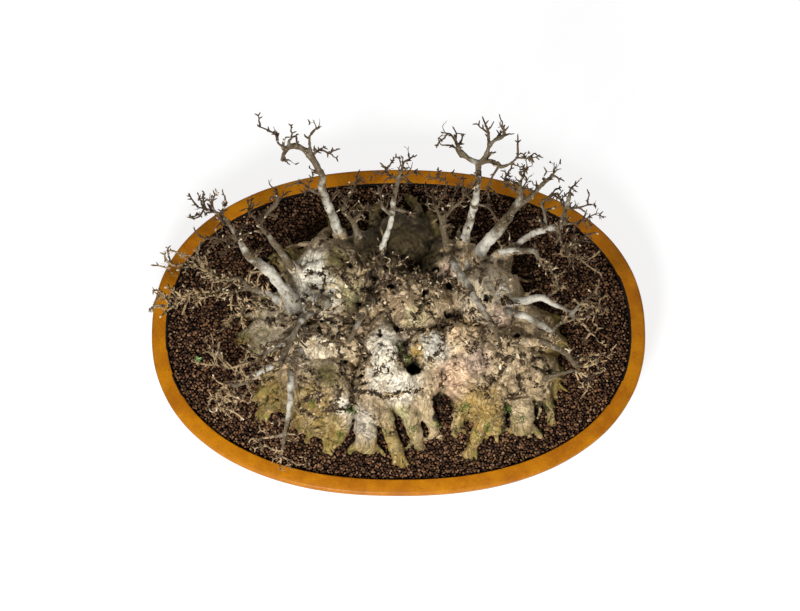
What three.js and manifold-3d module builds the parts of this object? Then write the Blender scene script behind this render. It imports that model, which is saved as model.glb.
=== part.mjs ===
import * as THREE from 'three';
import { mergeVertices } from 'three/addons/utils/BufferGeometryUtils.js';
import Module from 'manifold-3d';

// Driving dimensions in millimetres, with +Z up and the feet standing on z = 0
const POT_LENGTH = 600;
const POT_DEPTH = 410;
const RIM_HEIGHT = 78;
const RIM_WIDTH = 19;
const RIM_LIP = 12;
const FOOT_HEIGHT = 11;
const FOOT_GAP = { halfLength: 175, halfDepth: 70 };
const FLOOR_THICKNESS = 9;
const OVAL_POWER = 2.25;
const DRAIN_RADIUS = 15;
const DRAIN_SPACING = 240;
const SOIL_EDGE_DROP = 18;
const SOIL_MOUND = 13;
const SOIL_GROOVE = 8;
const SOIL_GROOVE_START = 0.93;
const GRAIN_RELIEF = 2.6;
const GRAIN_PITCH = 14;
const CLEARANCE = 0.35;
// How far each part of the pot's wall lies inside the rim's outer edge
const INSET = { wallTop: 9, wallFoot: 32, innerFoot: 36, footInner: 52 };
const ROOT_BALL = { x: 0, y: -5, halfLength: 105, halfDepth: 60, bottom: 44, top: 76 };

// Values that follow from the driving dimensions
const HALF_LENGTH = POT_LENGTH / 2;
const HALF_DEPTH = POT_DEPTH / 2;
const FLOOR_TOP = FOOT_HEIGHT + FLOOR_THICKNESS;
const RIM_INNER = HALF_LENGTH - RIM_WIDTH;
const TWIG_MARGIN = 6;
const LOOSEST_TWIG = { x: HALF_LENGTH - TWIG_MARGIN, y: HALF_DEPTH - TWIG_MARGIN };
const STAPLE_FOOT = DRAIN_RADIUS + 7;

// Smaller pieces and the shape rules
const OVAL_SIDES = 52;
const OVAL_CORE = 180;
const SCREEN = { size: 38, thickness: 1, pitch: 8.6, gap: 6.2, gaps: 4 };
const STAPLE = { radius: 0.8, span: 8.6, bend: 1.5 };
const SEEDLING = { x: -243, y: -38, height: 7, depth: 5, stemRadius: 0.7, leaves: 4 };
const LEAF = { halfLength: 3.4, halfWidth: 1.7, halfThickness: 0.55, rise: 0.35, turn: 0.5 };
const MASS = { x0: -190, x1: 208, y0: -128, y1: 152, bottom: 50, pitch: 11 };
const LUMP_BLEND = 4.5;
const LUMP_EDGE = 0.92;
// Side shoots start past the first share of a limb, and each turns on from the one before
const SHOOT = {
  first: 0.42, spread: 0.55, turn: 2.4, shortest: 11, stretch: 12, girth: 0.62, thickest: 1.6,
};
const FORK = { from: 20.5, share: 0.55, turn: 2 };

// Each limb: the number of side shoots it carries, then its bends as [x, y, z, radius]
const LIMBS = [
  { name: 'west_pale', shoots: 2, route: [
    [-123, 15, 112, 9], [-137, 33, 136, 7.5], [-154, 50, 155, 6.8], [-179, 64, 172, 6.2]
  ] },
  { name: 'west_tip', shoots: 3, route: [
    [-179, 64, 172, 4.6], [-187, 77, 184, 3.6], [-195, 89, 196, 3.2], [-207, 102, 206, 2.8],
    [-225, 107, 210, 1.6], [-232, 108, 212, 0.8]
  ] },
  { name: 'west_side', shoots: 2, route: [
    [-177, 66, 174, 3.4], [-183, 74, 182, 2.8], [-193, 79, 186, 2.2], [-206, 76, 188, 1.5],
    [-216, 78, 190, 0.9]
  ] },
  { name: 'west_spur_a', shoots: 0, route: [
    [-217, 105, 208, 1.5], [-217, 119, 216, 0.7]
  ] },
  { name: 'west_spur_b', shoots: 1, route: [
    [-225, 107, 210, 1.7], [-231, 99, 206, 1.2], [-239, 96, 206, 0.8]
  ] },
  { name: 'west_spur_c', shoots: 1, route: [
    [-207, 103, 206, 1.8], [-198, 114, 214, 0.9]
  ] },
  { name: 'northwest_brown', shoots: 3, route: [
    [-114, 58, 104, 8], [-130, 64, 132, 6.5], [-143, 77, 158, 5], [-155, 89, 170, 4.2],
    [-163, 102, 180, 3.6], [-142, 120, 196, 3], [-143, 135, 206, 1.2]
  ] },
  { name: 'northwest_thin', shoots: 1, route: [
    [-160, 98, 180, 1.8], [-176, 111, 188, 1.2], [-171, 124, 196, 0.8]
  ] },
  { name: 'north_west', shoots: 2, route: [
    [-65, 84, 118, 10], [-72, 102, 140, 8], [-80, 117, 165, 7], [-89, 134, 200, 6.2],
    [-89, 144, 222, 5], [-100, 157, 250, 5.2]
  ] },
  { name: 'north_west_arm', shoots: 1, route: [
    [-100, 157, 250, 4.6], [-109, 163, 258, 3.8], [-119, 165, 262, 4], [-127, 161, 264, 3.4],
    [-134, 148, 258, 2.4]
  ] },
  { name: 'north_west_long', shoots: 2, route: [
    [-127, 160, 264, 2.6], [-137, 166, 268, 2], [-139, 174, 272, 1.5], [-151, 180, 276, 1],
    [-159, 182, 279, 0.6]
  ] },
  { name: 'north_west_stub', shoots: 1, route: [
    [-124, 163, 264, 2.6], [-125, 168, 268, 2], [-119, 173, 272, 1.6]
  ] },
  { name: 'north_west_up', shoots: 1, route: [
    [-101, 157, 250, 3], [-101, 167, 262, 2.2], [-101, 173, 270, 2.4], [-95, 179, 276, 1.4],
    [-89, 182, 280, 0.7]
  ] },
  { name: 'north_west_side', shoots: 1, route: [
    [-99, 158, 250, 2.2], [-91, 162, 256, 1.3], [-83, 165, 260, 0.8]
  ] },
  { name: 'north_west_low', shoots: 2, route: [
    [-87, 130, 190, 3], [-103, 134, 200, 2.2], [-111, 139, 206, 1.3], [-118, 141, 210, 0.8]
  ] },
  { name: 'north_small', shoots: 2, route: [
    [-44, 81, 118, 6.5], [-48, 95, 145, 5.5], [-54, 108, 160, 4], [-63, 115, 172, 3.2],
    [-69, 123, 180, 2]
  ] },
  { name: 'north_small_b', shoots: 2, route: [
    [-54, 108, 160, 3], [-43, 117, 170, 2.2], [-38, 123, 178, 1.2]
  ] },
  { name: 'north_small_c', shoots: 1, route: [
    [-64, 118, 174, 2.2], [-58, 131, 186, 2], [-50, 142, 200, 1.5], [-45, 147, 205, 1.1]
  ] },
  { name: 'north', shoots: 1, route: [
    [-24, 70, 112, 7.5], [-19, 84, 140, 5], [-10, 102, 165, 4.2], [-6, 118, 200, 4],
    [0, 134, 240, 3.4]
  ] },
  { name: 'north_a', shoots: 1, route: [
    [-2, 133, 240, 2], [-11, 135, 246, 1.8], [-15, 142, 252, 1.6], [-21, 146, 258, 0.9]
  ] },
  { name: 'north_b', shoots: 2, route: [
    [0, 134, 240, 2.6], [4, 140, 250, 1.8], [6, 146, 258, 1.4], [13, 149, 264, 0.7]
  ] },
  { name: 'north_c', shoots: 0, route: [
    [0, 134, 240, 2], [20, 138, 250, 0.7]
  ] },
  { name: 'north_collar', shoots: 1, route: [
    [-9, 109, 184, 3], [-18, 114, 192, 2.6], [-20, 124, 200, 2], [-24, 133, 208, 1.2]
  ] },
  { name: 'north_collar_b', shoots: 1, route: [
    [-8, 114, 192, 3], [4, 110, 196, 2.6], [15, 107, 196, 1.6]
  ] },
  { name: 'northeast', shoots: 0, route: [
    [66, 69, 108, 8], [58, 86, 138, 5.5], [53, 102, 155, 5], [53, 112, 168, 5.2]
  ] },
  { name: 'northeast_a', shoots: 1, route: [
    [50, 111, 168, 3], [42, 122, 180, 2.2], [41, 128, 188, 1.6], [39, 138, 196, 0.8]
  ] },
  { name: 'northeast_b', shoots: 1, route: [
    [55, 112, 169, 3], [64, 119, 178, 2.4], [75, 125, 188, 2.2], [76, 134, 198, 1.4],
    [73, 146, 206, 0.8]
  ] },
  { name: 'northeast_c', shoots: 1, route: [
    [45, 119, 177, 1.8], [53, 130, 192, 1.4], [56, 139, 200, 1.1], [53, 148, 208, 0.7]
  ] },
  { name: 'northeast_d', shoots: 0, route: [
    [64, 119, 178, 1.6], [64, 130, 188, 1]
  ] },
  { name: 'tall', shoots: 1, route: [
    [72, 77, 116, 10], [78, 91, 142, 7.2], [84, 104, 172, 6.4], [89, 115, 208, 5.6],
    [91, 125, 248, 4.8], [90, 135, 285, 4.4]
  ] },
  { name: 'tall_a', shoots: 2, route: [
    [90, 135, 285, 3.6], [78, 138, 292, 3.2], [70, 144, 298, 3.6], [64, 154, 304, 1.8],
    [58, 161, 308, 1.3], [50, 162, 310, 0.8]
  ] },
  { name: 'tall_a_up', shoots: 0, route: [
    [64, 156, 304, 1.3], [65, 162, 308, 1.2], [60, 168, 314, 0.7]
  ] },
  { name: 'tall_a_side', shoots: 0, route: [
    [65, 162, 308, 0.9], [75, 160, 310, 0.6]
  ] },
  { name: 'tall_a_low', shoots: 0, route: [
    [69, 146, 299, 1.6], [58, 149, 304, 1.2], [48, 149, 306, 1], [44, 155, 310, 0.8]
  ] },
  { name: 'tall_b', shoots: 1, route: [
    [91, 135, 285, 3.2], [98, 141, 295, 3], [101, 149, 302, 2.6], [100, 162, 312, 1.6],
    [93, 177, 322, 0.9]
  ] },
  { name: 'tall_b_side', shoots: 2, route: [
    [101, 148, 301, 2.6], [108, 155, 306, 2.6], [116, 158, 308, 2.6], [118, 163, 312, 1.4],
    [123, 168, 315, 0.8]
  ] },
  { name: 'tall_c', shoots: 1, route: [
    [91, 135, 285, 3.2], [105, 137, 288, 3], [113, 130, 288, 2.8], [122, 130, 292, 2.2],
    [133, 138, 298, 1.7], [133, 149, 306, 1.4], [133, 160, 312, 0.8]
  ] },
  { name: 'tall_c_side', shoots: 1, route: [
    [133, 137, 298, 1.3], [145, 135, 300, 1.1], [159, 137, 304, 0.6]
  ] },
  { name: 'tall_c_low', shoots: 2, route: [
    [112, 130, 288, 1.6], [106, 121, 282, 1.5], [101, 111, 274, 1.8], [103, 99, 262, 1.3]
  ] },
  { name: 'tall_knot_a', shoots: 0, route: [
    [89, 113, 205, 2.2], [83, 119, 212, 1.3], [78, 123, 216, 0.8]
  ] },
  { name: 'tall_knot_b', shoots: 2, route: [
    [91, 114, 206, 2.2], [104, 108, 212, 1.6], [111, 99, 212, 1.4], [116, 91, 210, 1]
  ] },
  { name: 'east_thick', shoots: 0, route: [
    [86, 65, 112, 12], [97, 76, 142, 8.8], [111, 88, 165, 8], [125, 99, 188, 7.6],
    [129, 103, 195, 7.4]
  ] },
  { name: 'east_up', shoots: 3, route: [
    [125, 100, 187, 5.5], [137, 112, 204, 5], [142, 123, 222, 3.8], [140, 129, 236, 2.8],
    [143, 135, 246, 1.8], [147, 144, 256, 0.8]
  ] },
  { name: 'east_up_left', shoots: 2, route: [
    [140, 123, 220, 2], [126, 129, 232, 1.8], [122, 135, 240, 1]
  ] },
  { name: 'east_up_right', shoots: 1, route: [
    [142, 125, 222, 1.4], [149, 134, 236, 0.7]
  ] },
  { name: 'east_dark', shoots: 3, route: [
    [135, 111, 202, 4.4], [149, 117, 212, 4], [157, 122, 220, 3.2], [164, 128, 230, 3.2],
    [171, 132, 238, 2.2], [182, 141, 248, 0.8]
  ] },
  { name: 'east_arc', shoots: 1, route: [
    [174, 94, 176, 2.6], [170, 112, 192, 2.2], [167, 118, 202, 2.2], [179, 123, 210, 1.6],
    [185, 125, 213, 1.3], [191, 112, 208, 1.2]
  ] },
  { name: 'east_far', shoots: 2, route: [
    [118, 72, 114, 8], [140, 83, 145, 5.2], [157, 91, 162, 4.6], [174, 94, 176, 4.4],
    [189, 93, 188, 4.2], [194, 105, 204, 3.6], [197, 117, 218, 4]
  ] },
  { name: 'east_far_tip', shoots: 2, route: [
    [197, 117, 218, 2.4], [199, 126, 232, 1]
  ] },
  { name: 'east_far_a', shoots: 1, route: [
    [195, 108, 207, 2.2], [210, 106, 218, 1.5], [220, 107, 224, 0.8]
  ] },
  { name: 'east_far_b', shoots: 2, route: [
    [190, 95, 190, 2.2], [207, 93, 200, 1.5], [216, 95, 208, 1.2], [231, 100, 216, 0.7]
  ] },
  { name: 'east_far_c', shoots: 0, route: [
    [214, 95, 206, 1.2], [219, 86, 200, 0.8]
  ] },
  { name: 'east_lower', shoots: 2, route: [
    [186, 93, 186, 2.8], [190, 82, 178, 2.2], [193, 74, 172, 1.8], [205, 77, 176, 1.5],
    [215, 79, 178, 0.8]
  ] },
  { name: 'east_lower_b', shoots: 2, route: [
    [193, 74, 172, 1.6], [192, 68, 160, 1.2], [208, 65, 156, 1], [227, 63, 154, 0.6]
  ] },
  { name: 'east_level', shoots: 1, route: [
    [98, 63, 118, 7], [121, 73, 150, 5], [141, 72, 158, 4.8], [162, 71, 164, 4.6]
  ] },
  { name: 'east_level_tip', shoots: 2, route: [
    [162, 71, 164, 3.2], [167, 58, 158, 2.4], [180, 50, 152, 2], [189, 39, 146, 1.8],
    [190, 29, 142, 1.3]
  ] },
  { name: 'east_white', shoots: 1, route: [
    [102, 18, 120, 9], [128, 14, 142, 6], [151, 14, 150, 5.4], [168, 17, 152, 4.8],
    [182, 10, 148, 4], [195, 5, 146, 3.2], [208, -6, 146, 3]
  ] },
  { name: 'east_white_up', shoots: 1, route: [
    [171, 16, 151, 2.4], [186, 26, 150, 1.8], [187, 41, 150, 1.2]
  ] },
  { name: 'east_white_a', shoots: 2, route: [
    [204, -2, 146, 2.8], [215, 10, 150, 2.4], [226, 18, 152, 1.6], [235, 23, 156, 0.8]
  ] },
  { name: 'east_white_b', shoots: 1, route: [
    [214, 9, 149, 1.8], [226, 9, 150, 1.4], [235, 4, 150, 1.3], [247, 3, 152, 0.7]
  ] },
  { name: 'east_white_c', shoots: 0, route: [
    [235, 4, 150, 1.2], [237, 14, 154, 1.1], [236, 23, 158, 0.7]
  ] },
  { name: 'east_white_d', shoots: 0, route: [
    [235, 4, 150, 1.2], [230, -6, 146, 1], [228, -12, 144, 0.7]
  ] },
  { name: 'east_white_e', shoots: 1, route: [
    [208, -6, 146, 2.2], [218, -8, 146, 1.6], [225, -2, 150, 1]
  ] },
  { name: 'east_white_f', shoots: 1, route: [
    [208, -6, 146, 2.2], [220, -15, 142, 1.6], [227, -23, 138, 1.2], [235, -29, 136, 0.8]
  ] },
  { name: 'southeast', shoots: 1, route: [
    [105, 14, 116, 8], [129, 2, 142, 5.5], [151, -6, 148, 5.2], [169, -16, 148, 4.8],
    [180, -23, 146, 4.2], [185, -17, 146, 2.6], [196, -12, 146, 2], [207, -8, 146, 1.6]
  ] },
  { name: 'southeast_low', shoots: 1, route: [
    [143, -27, 104, 7], [170, -29, 124, 4.4], [186, -39, 128, 3.8], [198, -46, 128, 4],
    [209, -58, 124, 4]
  ] },
  { name: 'southeast_low_a', shoots: 1, route: [
    [207, -57, 124, 2.4], [218, -51, 128, 1.7], [228, -48, 132, 1.3], [241, -49, 134, 1],
    [251, -54, 134, 0.6]
  ] },
  { name: 'southeast_low_b', shoots: 0, route: [
    [209, -59, 123, 2.6], [224, -60, 124, 1.6], [235, -56, 128, 1], [246, -54, 130, 0.7]
  ] },
  { name: 'southeast_low_c', shoots: 2, route: [
    [173, -69, 100, 4.4], [191, -67, 116, 2.4], [210, -65, 122, 2.4], [226, -74, 122, 1.4],
    [234, -77, 122, 0.7]
  ] },
  { name: 'southeast_low_d', shoots: 1, route: [
    [224, -72, 122, 1.3], [224, -84, 118, 1], [217, -94, 114, 0.7]
  ] },
  { name: 'front_diagonal', shoots: 2, route: [
    [57, 79, 118, 6.5], [63, 63, 152, 5.4], [74, 34, 178, 5], [83, 18, 186, 4.8],
    [91, 1, 190, 4.8], [99, -13, 190, 4.6], [108, -25, 186, 4.2], [117, -44, 180, 3.4]
  ] },
  { name: 'front_diagonal_a', shoots: 2, route: [
    [107, -24, 186, 2.4], [98, -31, 182, 1.6], [92, -42, 176, 1]
  ] },
  { name: 'front_diagonal_b', shoots: 2, route: [
    [111, -32, 184, 2.2], [126, -28, 184, 1.4], [138, -23, 186, 0.8]
  ] },
  { name: 'southwest_dark', shoots: 2, route: [
    [-86, 18, 128, 7], [-102, -5, 162, 5], [-116, -24, 178, 4.2], [-126, -50, 186, 3.8],
    [-136, -77, 188, 3.2]
  ] },
  { name: 'southwest', shoots: 2, route: [
    [-108, -13, 112, 6.5], [-123, -30, 136, 3.8], [-133, -36, 146, 3.4], [-150, -48, 152, 3.2],
    [-166, -61, 154, 2.6]
  ] },
  { name: 'southwest_tip', shoots: 2, route: [
    [-166, -61, 154, 2], [-182, -64, 152, 1.4], [-199, -69, 148, 1.2], [-213, -63, 148, 1],
    [-218, -45, 152, 0.6]
  ] },
  { name: 'southwest_low', shoots: 1, route: [
    [-130, -44, 102, 7.5], [-149, -61, 128, 5], [-162, -70, 138, 4.2], [-177, -81, 142, 4.2],
    [-190, -88, 142, 3.4]
  ] },
  { name: 'southwest_low_a', shoots: 1, route: [
    [-190, -88, 142, 2.4], [-201, -86, 142, 1.6], [-212, -97, 140, 1]
  ] },
  { name: 'southwest_low_b', shoots: 1, route: [
    [-179, -82, 142, 2], [-175, -90, 138, 1.4], [-184, -101, 134, 1.3], [-199, -104, 132, 1.2],
    [-214, -95, 132, 0.8]
  ] },
  { name: 'southwest_low_c', shoots: 0, route: [
    [-199, -104, 132, 1.2], [-210, -109, 130, 1], [-196, -122, 126, 0.7]
  ] },
  { name: 'south_west', shoots: 2, route: [
    [-117, -42, 122, 7.5], [-124, -75, 156, 5.2], [-124, -106, 164, 4.8], [-127, -128, 160, 3.6],
    [-131, -149, 154, 3], [-134, -165, 148, 2.2], [-137, -185, 140, 0.9]
  ] },
  { name: 'south_west_a', shoots: 1, route: [
    [-131, -148, 154, 2.4], [-141, -149, 150, 2.4], [-155, -150, 144, 1.4], [-171, -151, 142, 0.8]
  ] },
  { name: 'south_west_b', shoots: 1, route: [
    [-129, -147, 154, 2], [-118, -147, 150, 1.2], [-109, -144, 148, 0.7]
  ] },
  { name: 'south_west_c', shoots: 1, route: [
    [-134, -167, 147, 1.4], [-146, -164, 146, 1], [-155, -158, 148, 0.7]
  ] },
  { name: 'south_west_d', shoots: 0, route: [
    [-135, -172, 145, 1.4], [-123, -177, 142, 0.9], [-115, -181, 140, 0.8], [-104, -179, 142, 0.6]
  ] },
  { name: 'south_west_e', shoots: 0, route: [
    [-124, -76, 156, 1.6], [-108, -86, 160, 1], [-92, -101, 160, 0.7]
  ] },
  { name: 'west_low', shoots: 1, route: [
    [-127, 22, 88, 8], [-144, 24, 115, 6], [-163, 32, 126, 5.4], [-179, 35, 130, 5]
  ] },
  { name: 'west_low_tip', shoots: 4, route: [
    [-179, 35, 130, 3.4], [-189, 45, 136, 2.8], [-206, 41, 138, 2.2], [-222, 44, 138, 1.8],
    [-230, 52, 140, 1.4], [-243, 59, 142, 1.2], [-258, 61, 142, 1], [-274, 55, 142, 0.6]
  ] },
  { name: 'west_low_b', shoots: 4, route: [
    [-179, 35, 130, 3], [-201, 30, 128, 2], [-220, 32, 126, 1.6], [-240, 30, 124, 1.3],
    [-261, 25, 124, 1], [-287, 25, 126, 0.6]
  ] },
  { name: 'west_low_c', shoots: 2, route: [
    [-163, 30, 124, 3.4], [-171, 16, 116, 2.6], [-184, 16, 110, 2.2], [-195, 7, 106, 1.6],
    [-205, 0, 104, 1]
  ] },
  { name: 'west_low_d', shoots: 1, route: [
    [-249, 28, 124, 1.2], [-268, 15, 124, 0.9], [-283, 14, 126, 0.6]
  ] },
  { name: 'west_low_e', shoots: 1, route: [
    [-230, 52, 140, 1.4], [-236, 62, 146, 1.1], [-246, 68, 150, 0.7]
  ] },
  { name: 'center_south', shoots: 2, route: [
    [-34, 23, 120, 7], [-43, -3, 150, 4.6], [-50, -22, 156, 4.2], [-59, -39, 152, 3]
  ] },
  { name: 'center_south_a', shoots: 2, route: [
    [-58, -38, 152, 2], [-71, -36, 154, 1.2], [-82, -39, 156, 0.8]
  ] },
];

// Roots that leave the root mass and run down into the soil, as [x, y, z, radius]
const ROOTS = [
  { name: 'leg_grey', route: [
    [-37, -77, 100, 16], [-38, -106, 94, 15], [-38, -131, 84, 14], [-38, -152, 70, 12]
  ] },
  { name: 'leg_a', route: [
    [-24, -86, 90, 13], [-14, -120, 83, 9], [-3, -148, 74, 8], [6, -169, 62, 5]
  ] },
  { name: 'leg_b', route: [
    [2, -83, 88, 15], [12, -112, 83, 10], [22, -133, 74, 8], [25, -147, 62, 5]
  ] },
  { name: 'arch_west', route: [
    [20, -83, 87, 14], [32, -104, 81, 9], [41, -121, 72, 7], [44, -134, 62, 5]
  ] },
  { name: 'arch_east', route: [
    [80, -80, 88, 14], [75, -100, 83, 9], [71, -117, 74, 7], [68, -132, 62, 5]
  ] },
  { name: 'leg_c', route: [
    [95, -90, 90, 15], [100, -113, 82, 10], [93, -137, 72, 8], [81, -157, 60, 4]
  ] },
  { name: 'leg_d', route: [
    [112, -90, 88, 16], [115, -110, 79, 13], [117, -128, 68, 10]
  ] },
  { name: 'leg_e', route: [
    [147, -88, 85, 17], [149, -112, 77, 14], [147, -129, 66, 11]
  ] },
  { name: 'toe_a', route: [
    [170, -80, 81, 12], [179, -92, 75, 7], [183, -105, 69, 5], [184, -119, 60, 3.5]
  ] },
  { name: 'toe_b', route: [
    [176, -45, 84, 13], [186, -62, 76, 9], [186, -79, 64, 6]
  ] },
  { name: 'toe_c', route: [
    [-130, -83, 88, 13], [-142, -90, 78, 10], [-157, -98, 70, 8], [-172, -106, 60, 4]
  ] },
  { name: 'toe_d', route: [
    [-64, -103, 86, 14], [-68, -122, 78, 11], [-77, -138, 70, 8], [-88, -150, 60, 5]
  ] },
  { name: 'toe_e', route: [
    [-96, -115, 80, 16], [-92, -129, 66, 12]
  ] },
  { name: 'west_a', route: [
    [-153, 10, 86, 9], [-171, 3, 78, 7], [-186, -7, 70, 6], [-196, -18, 62, 4]
  ] },
  { name: 'west_b', route: [
    [-141, -2, 84, 11], [-158, -17, 76, 8], [-166, -32, 66, 6]
  ] },
  { name: 'northwest_a', route: [
    [-98, 75, 98, 10], [-113, 78, 88, 7], [-126, 90, 82, 6], [-132, 103, 70, 5]
  ] },
  { name: 'northwest_b', route: [
    [-86, 87, 106, 9], [-93, 109, 96, 7], [-84, 126, 80, 5], [-78, 134, 66, 4]
  ] },
  { name: 'northwest_c', route: [
    [-119, 39, 98, 9], [-135, 62, 90, 7], [-144, 80, 82, 6], [-156, 95, 66, 4]
  ] },
  { name: 'back_a', route: [
    [-13, 98, 96, 11], [-28, 124, 88, 8], [-30, 148, 78, 7], [-27, 162, 64, 5]
  ] },
  { name: 'back_b', route: [
    [34, 105, 92, 11], [29, 133, 86, 7], [20, 157, 78, 6], [12, 174, 64, 4]
  ] },
  { name: 'back_c', route: [
    [61, 91, 88, 10], [41, 131, 78, 7], [37, 151, 64, 5]
  ] },
  { name: 'northeast_a', route: [
    [117, 41, 108, 11], [129, 68, 96, 8], [134, 89, 82, 6], [132, 103, 66, 5]
  ] },
  { name: 'east_a', route: [
    [141, 15, 96, 13], [162, 15, 86, 10], [182, 13, 74, 7], [193, 10, 62, 5]
  ] },
  { name: 'east_b', route: [
    [164, -56, 82, 11], [183, -57, 74, 7], [200, -53, 62, 4]
  ] },
];

// Rounded lumps that have grown together into the root mass, by centre and half sizes
const LUMPS = [
  { name: 'northwest_dome', at: [-78, 63, 104], half: [46, 40, 54] },
  { name: 'northwest_brim', at: [-86, 36, 92], half: [42, 34, 44] },
  { name: 'northwest_flank', at: [-44, 78, 96], half: [36, 40, 42] },
  { name: 'southwest_dome', at: [-97, -69, 84], half: [46, 50, 46] },
  { name: 'southwest_crown', at: [-99, -33, 96], half: [38, 30, 38] },
  { name: 'pale_ridge', at: [-17, -32, 102], half: [22, 42, 42] },
  { name: 'pale_shelf', at: [-8, -65, 86], half: [44, 34, 40] },
  { name: 'west_valley', at: [-59, -13, 88], half: [34, 36, 38] },
  { name: 'centre_mass', at: [14, 20, 96], half: [52, 44, 44] },
  { name: 'centre_knob', at: [39, -36, 112], half: [26, 26, 30] },
  { name: 'centre_front', at: [35, -66, 82], half: [42, 34, 36] },
  { name: 'pink_slope', at: [76, -35, 94], half: [36, 42, 44] },
  { name: 'east_stump', at: [106, 31, 102], half: [40, 40, 58] },
  { name: 'south_east', at: [122, -37, 84], half: [46, 42, 44] },
  { name: 'front_east', at: [96, -78, 78], half: [42, 32, 36] },
  { name: 'far_south_east', at: [154, -59, 74], half: [38, 38, 36] },
  { name: 'east_shoulder', at: [152, -10, 78], half: [42, 34, 32] },
  { name: 'back_hump', at: [4, 106, 88], half: [36, 34, 42] },
  { name: 'back_east', at: [65, 72, 92], half: [38, 34, 40] },
  { name: 'back_west', at: [-18, 65, 88], half: [34, 34, 36] },
  { name: 'west_shoulder', at: [-135, 18, 76], half: [38, 28, 30] },
  { name: 'west_toe', at: [-159, -10, 68], half: [26, 20, 16] },
  { name: 'southwest_toe', at: [-148, -78, 68], half: [24, 20, 18] },
];

// Dark hollows that rot has opened in the root mass, by centre and half sizes
const HOLLOWS = [
  { name: 'west_hollow', at: [-39, 23, 130], half: [11, 8, 34] },
  { name: 'centre_hollow', at: [18, -58, 112], half: [10, 9, 30] },
  { name: 'north_hollow', at: [-61, 111, 124], half: [8, 8, 22] },
  { name: 'heart_hollow', at: [53, -99, 86], half: [14, 19, 34] },
];

const wasm = await Module();
wasm.setup();

// Seeded random numbers between 0 and 1
function makeRandom(seed) {
  let state = seed;
  return () => {
    state = (state * 16807) % 2147483647;
    return state / 2147483647;
  };
}

// A closed three.js geometry as a solid that can be joined and cut
function solidFrom(geometry) {
  const bare = geometry.clone();
  bare.deleteAttribute('normal');
  bare.deleteAttribute('uv');
  const merged = mergeVertices(bare, 1e-4);
  const mesh = new wasm.Mesh({
    numProp: 3,
    vertProperties: new Float32Array(merged.attributes.position.array),
    triVerts: new Uint32Array(merged.index.array),
  });
  return new wasm.Manifold(mesh);
}

function geometryFrom(solid) {
  const mesh = solid.getMesh();
  const geometry = new THREE.BufferGeometry();
  geometry.setAttribute('position', new THREE.BufferAttribute(mesh.vertProperties, 3));
  geometry.setIndex(new THREE.BufferAttribute(mesh.triVerts, 1));
  geometry.computeVertexNormals();
  return geometry;
}

function moveVertices(geometry, move) {
  const position = geometry.attributes.position;
  const point = new THREE.Vector3();
  for (let i = 0; i < position.count; i += 1) {
    point.fromBufferAttribute(position, i);
    move(point);
    position.setXYZ(i, point.x, point.y, point.z);
  }
  return geometry;
}

function box(x0, x1, y0, y1, z0, z1) {
  const geometry = new THREE.BoxGeometry(x1 - x0, y1 - y0, z1 - z0);
  geometry.translate((x0 + x1) / 2, (y0 + y1) / 2, (z0 + z1) / 2);
  return solidFrom(geometry);
}

function uprightCylinder(x, y, z0, z1, radiusX, radiusY, sides) {
  const geometry = new THREE.CylinderGeometry(1, 1, z1 - z0, sides);
  geometry.rotateX(Math.PI / 2);
  geometry.scale(radiusX, radiusY, 1);
  geometry.translate(x, y, (z0 + z1) / 2);
  return solidFrom(geometry);
}

// The oval plan: a superellipse drawn a given distance inside the rim's outer edge
function ovalPoint(inset, angle) {
  const cosine = Math.cos(angle);
  const sine = Math.sin(angle);
  const power = 2 / OVAL_POWER;
  return {
    x: (HALF_LENGTH - inset) * Math.sign(cosine) * Math.abs(cosine) ** power,
    y: (HALF_DEPTH - inset) * Math.sign(sine) * Math.abs(sine) ** power,
  };
}

// 0 at the pot's middle and 1 where its inner wall meets the rim
function ovalReach(x, y) {
  const along = Math.abs(x) / RIM_INNER;
  const across = Math.abs(y) / (HALF_DEPTH - RIM_WIDTH);
  return (along ** OVAL_POWER + across ** OVAL_POWER) ** (1 / OVAL_POWER);
}

// Turns a profile about Z and then stretches the turned form to the oval plan.
// Inside the core radius the form shrinks evenly, so that the floor closes at its middle.
function ovalSolid(profile) {
  const points = profile.map(([radius, height]) => new THREE.Vector2(radius, height));
  const geometry = new THREE.LatheGeometry(points, OVAL_SIDES);
  geometry.rotateX(Math.PI / 2);
  moveVertices(geometry, (point) => {
    const radius = Math.hypot(point.x, point.y);
    const angle = Math.atan2(point.y, point.x);
    const shrink = Math.min(radius / OVAL_CORE, 1);
    const edge = ovalPoint(HALF_LENGTH - Math.max(radius, OVAL_CORE), angle);
    point.x = edge.x * shrink;
    point.y = edge.y * shrink;
  });
  return solidFrom(geometry);
}

// Shared heights of the soil
function soilHeight(x, y) {
  const reach = Math.min(ovalReach(x, y), 1);
  const edge = RIM_HEIGHT - SOIL_EDGE_DROP;
  const mound = SOIL_MOUND * (1 - reach ** 2);
  const groove = SOIL_GROOVE * THREE.MathUtils.smoothstep(reach, SOIL_GROOVE_START, 1);
  return edge + mound - groove;
}

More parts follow.
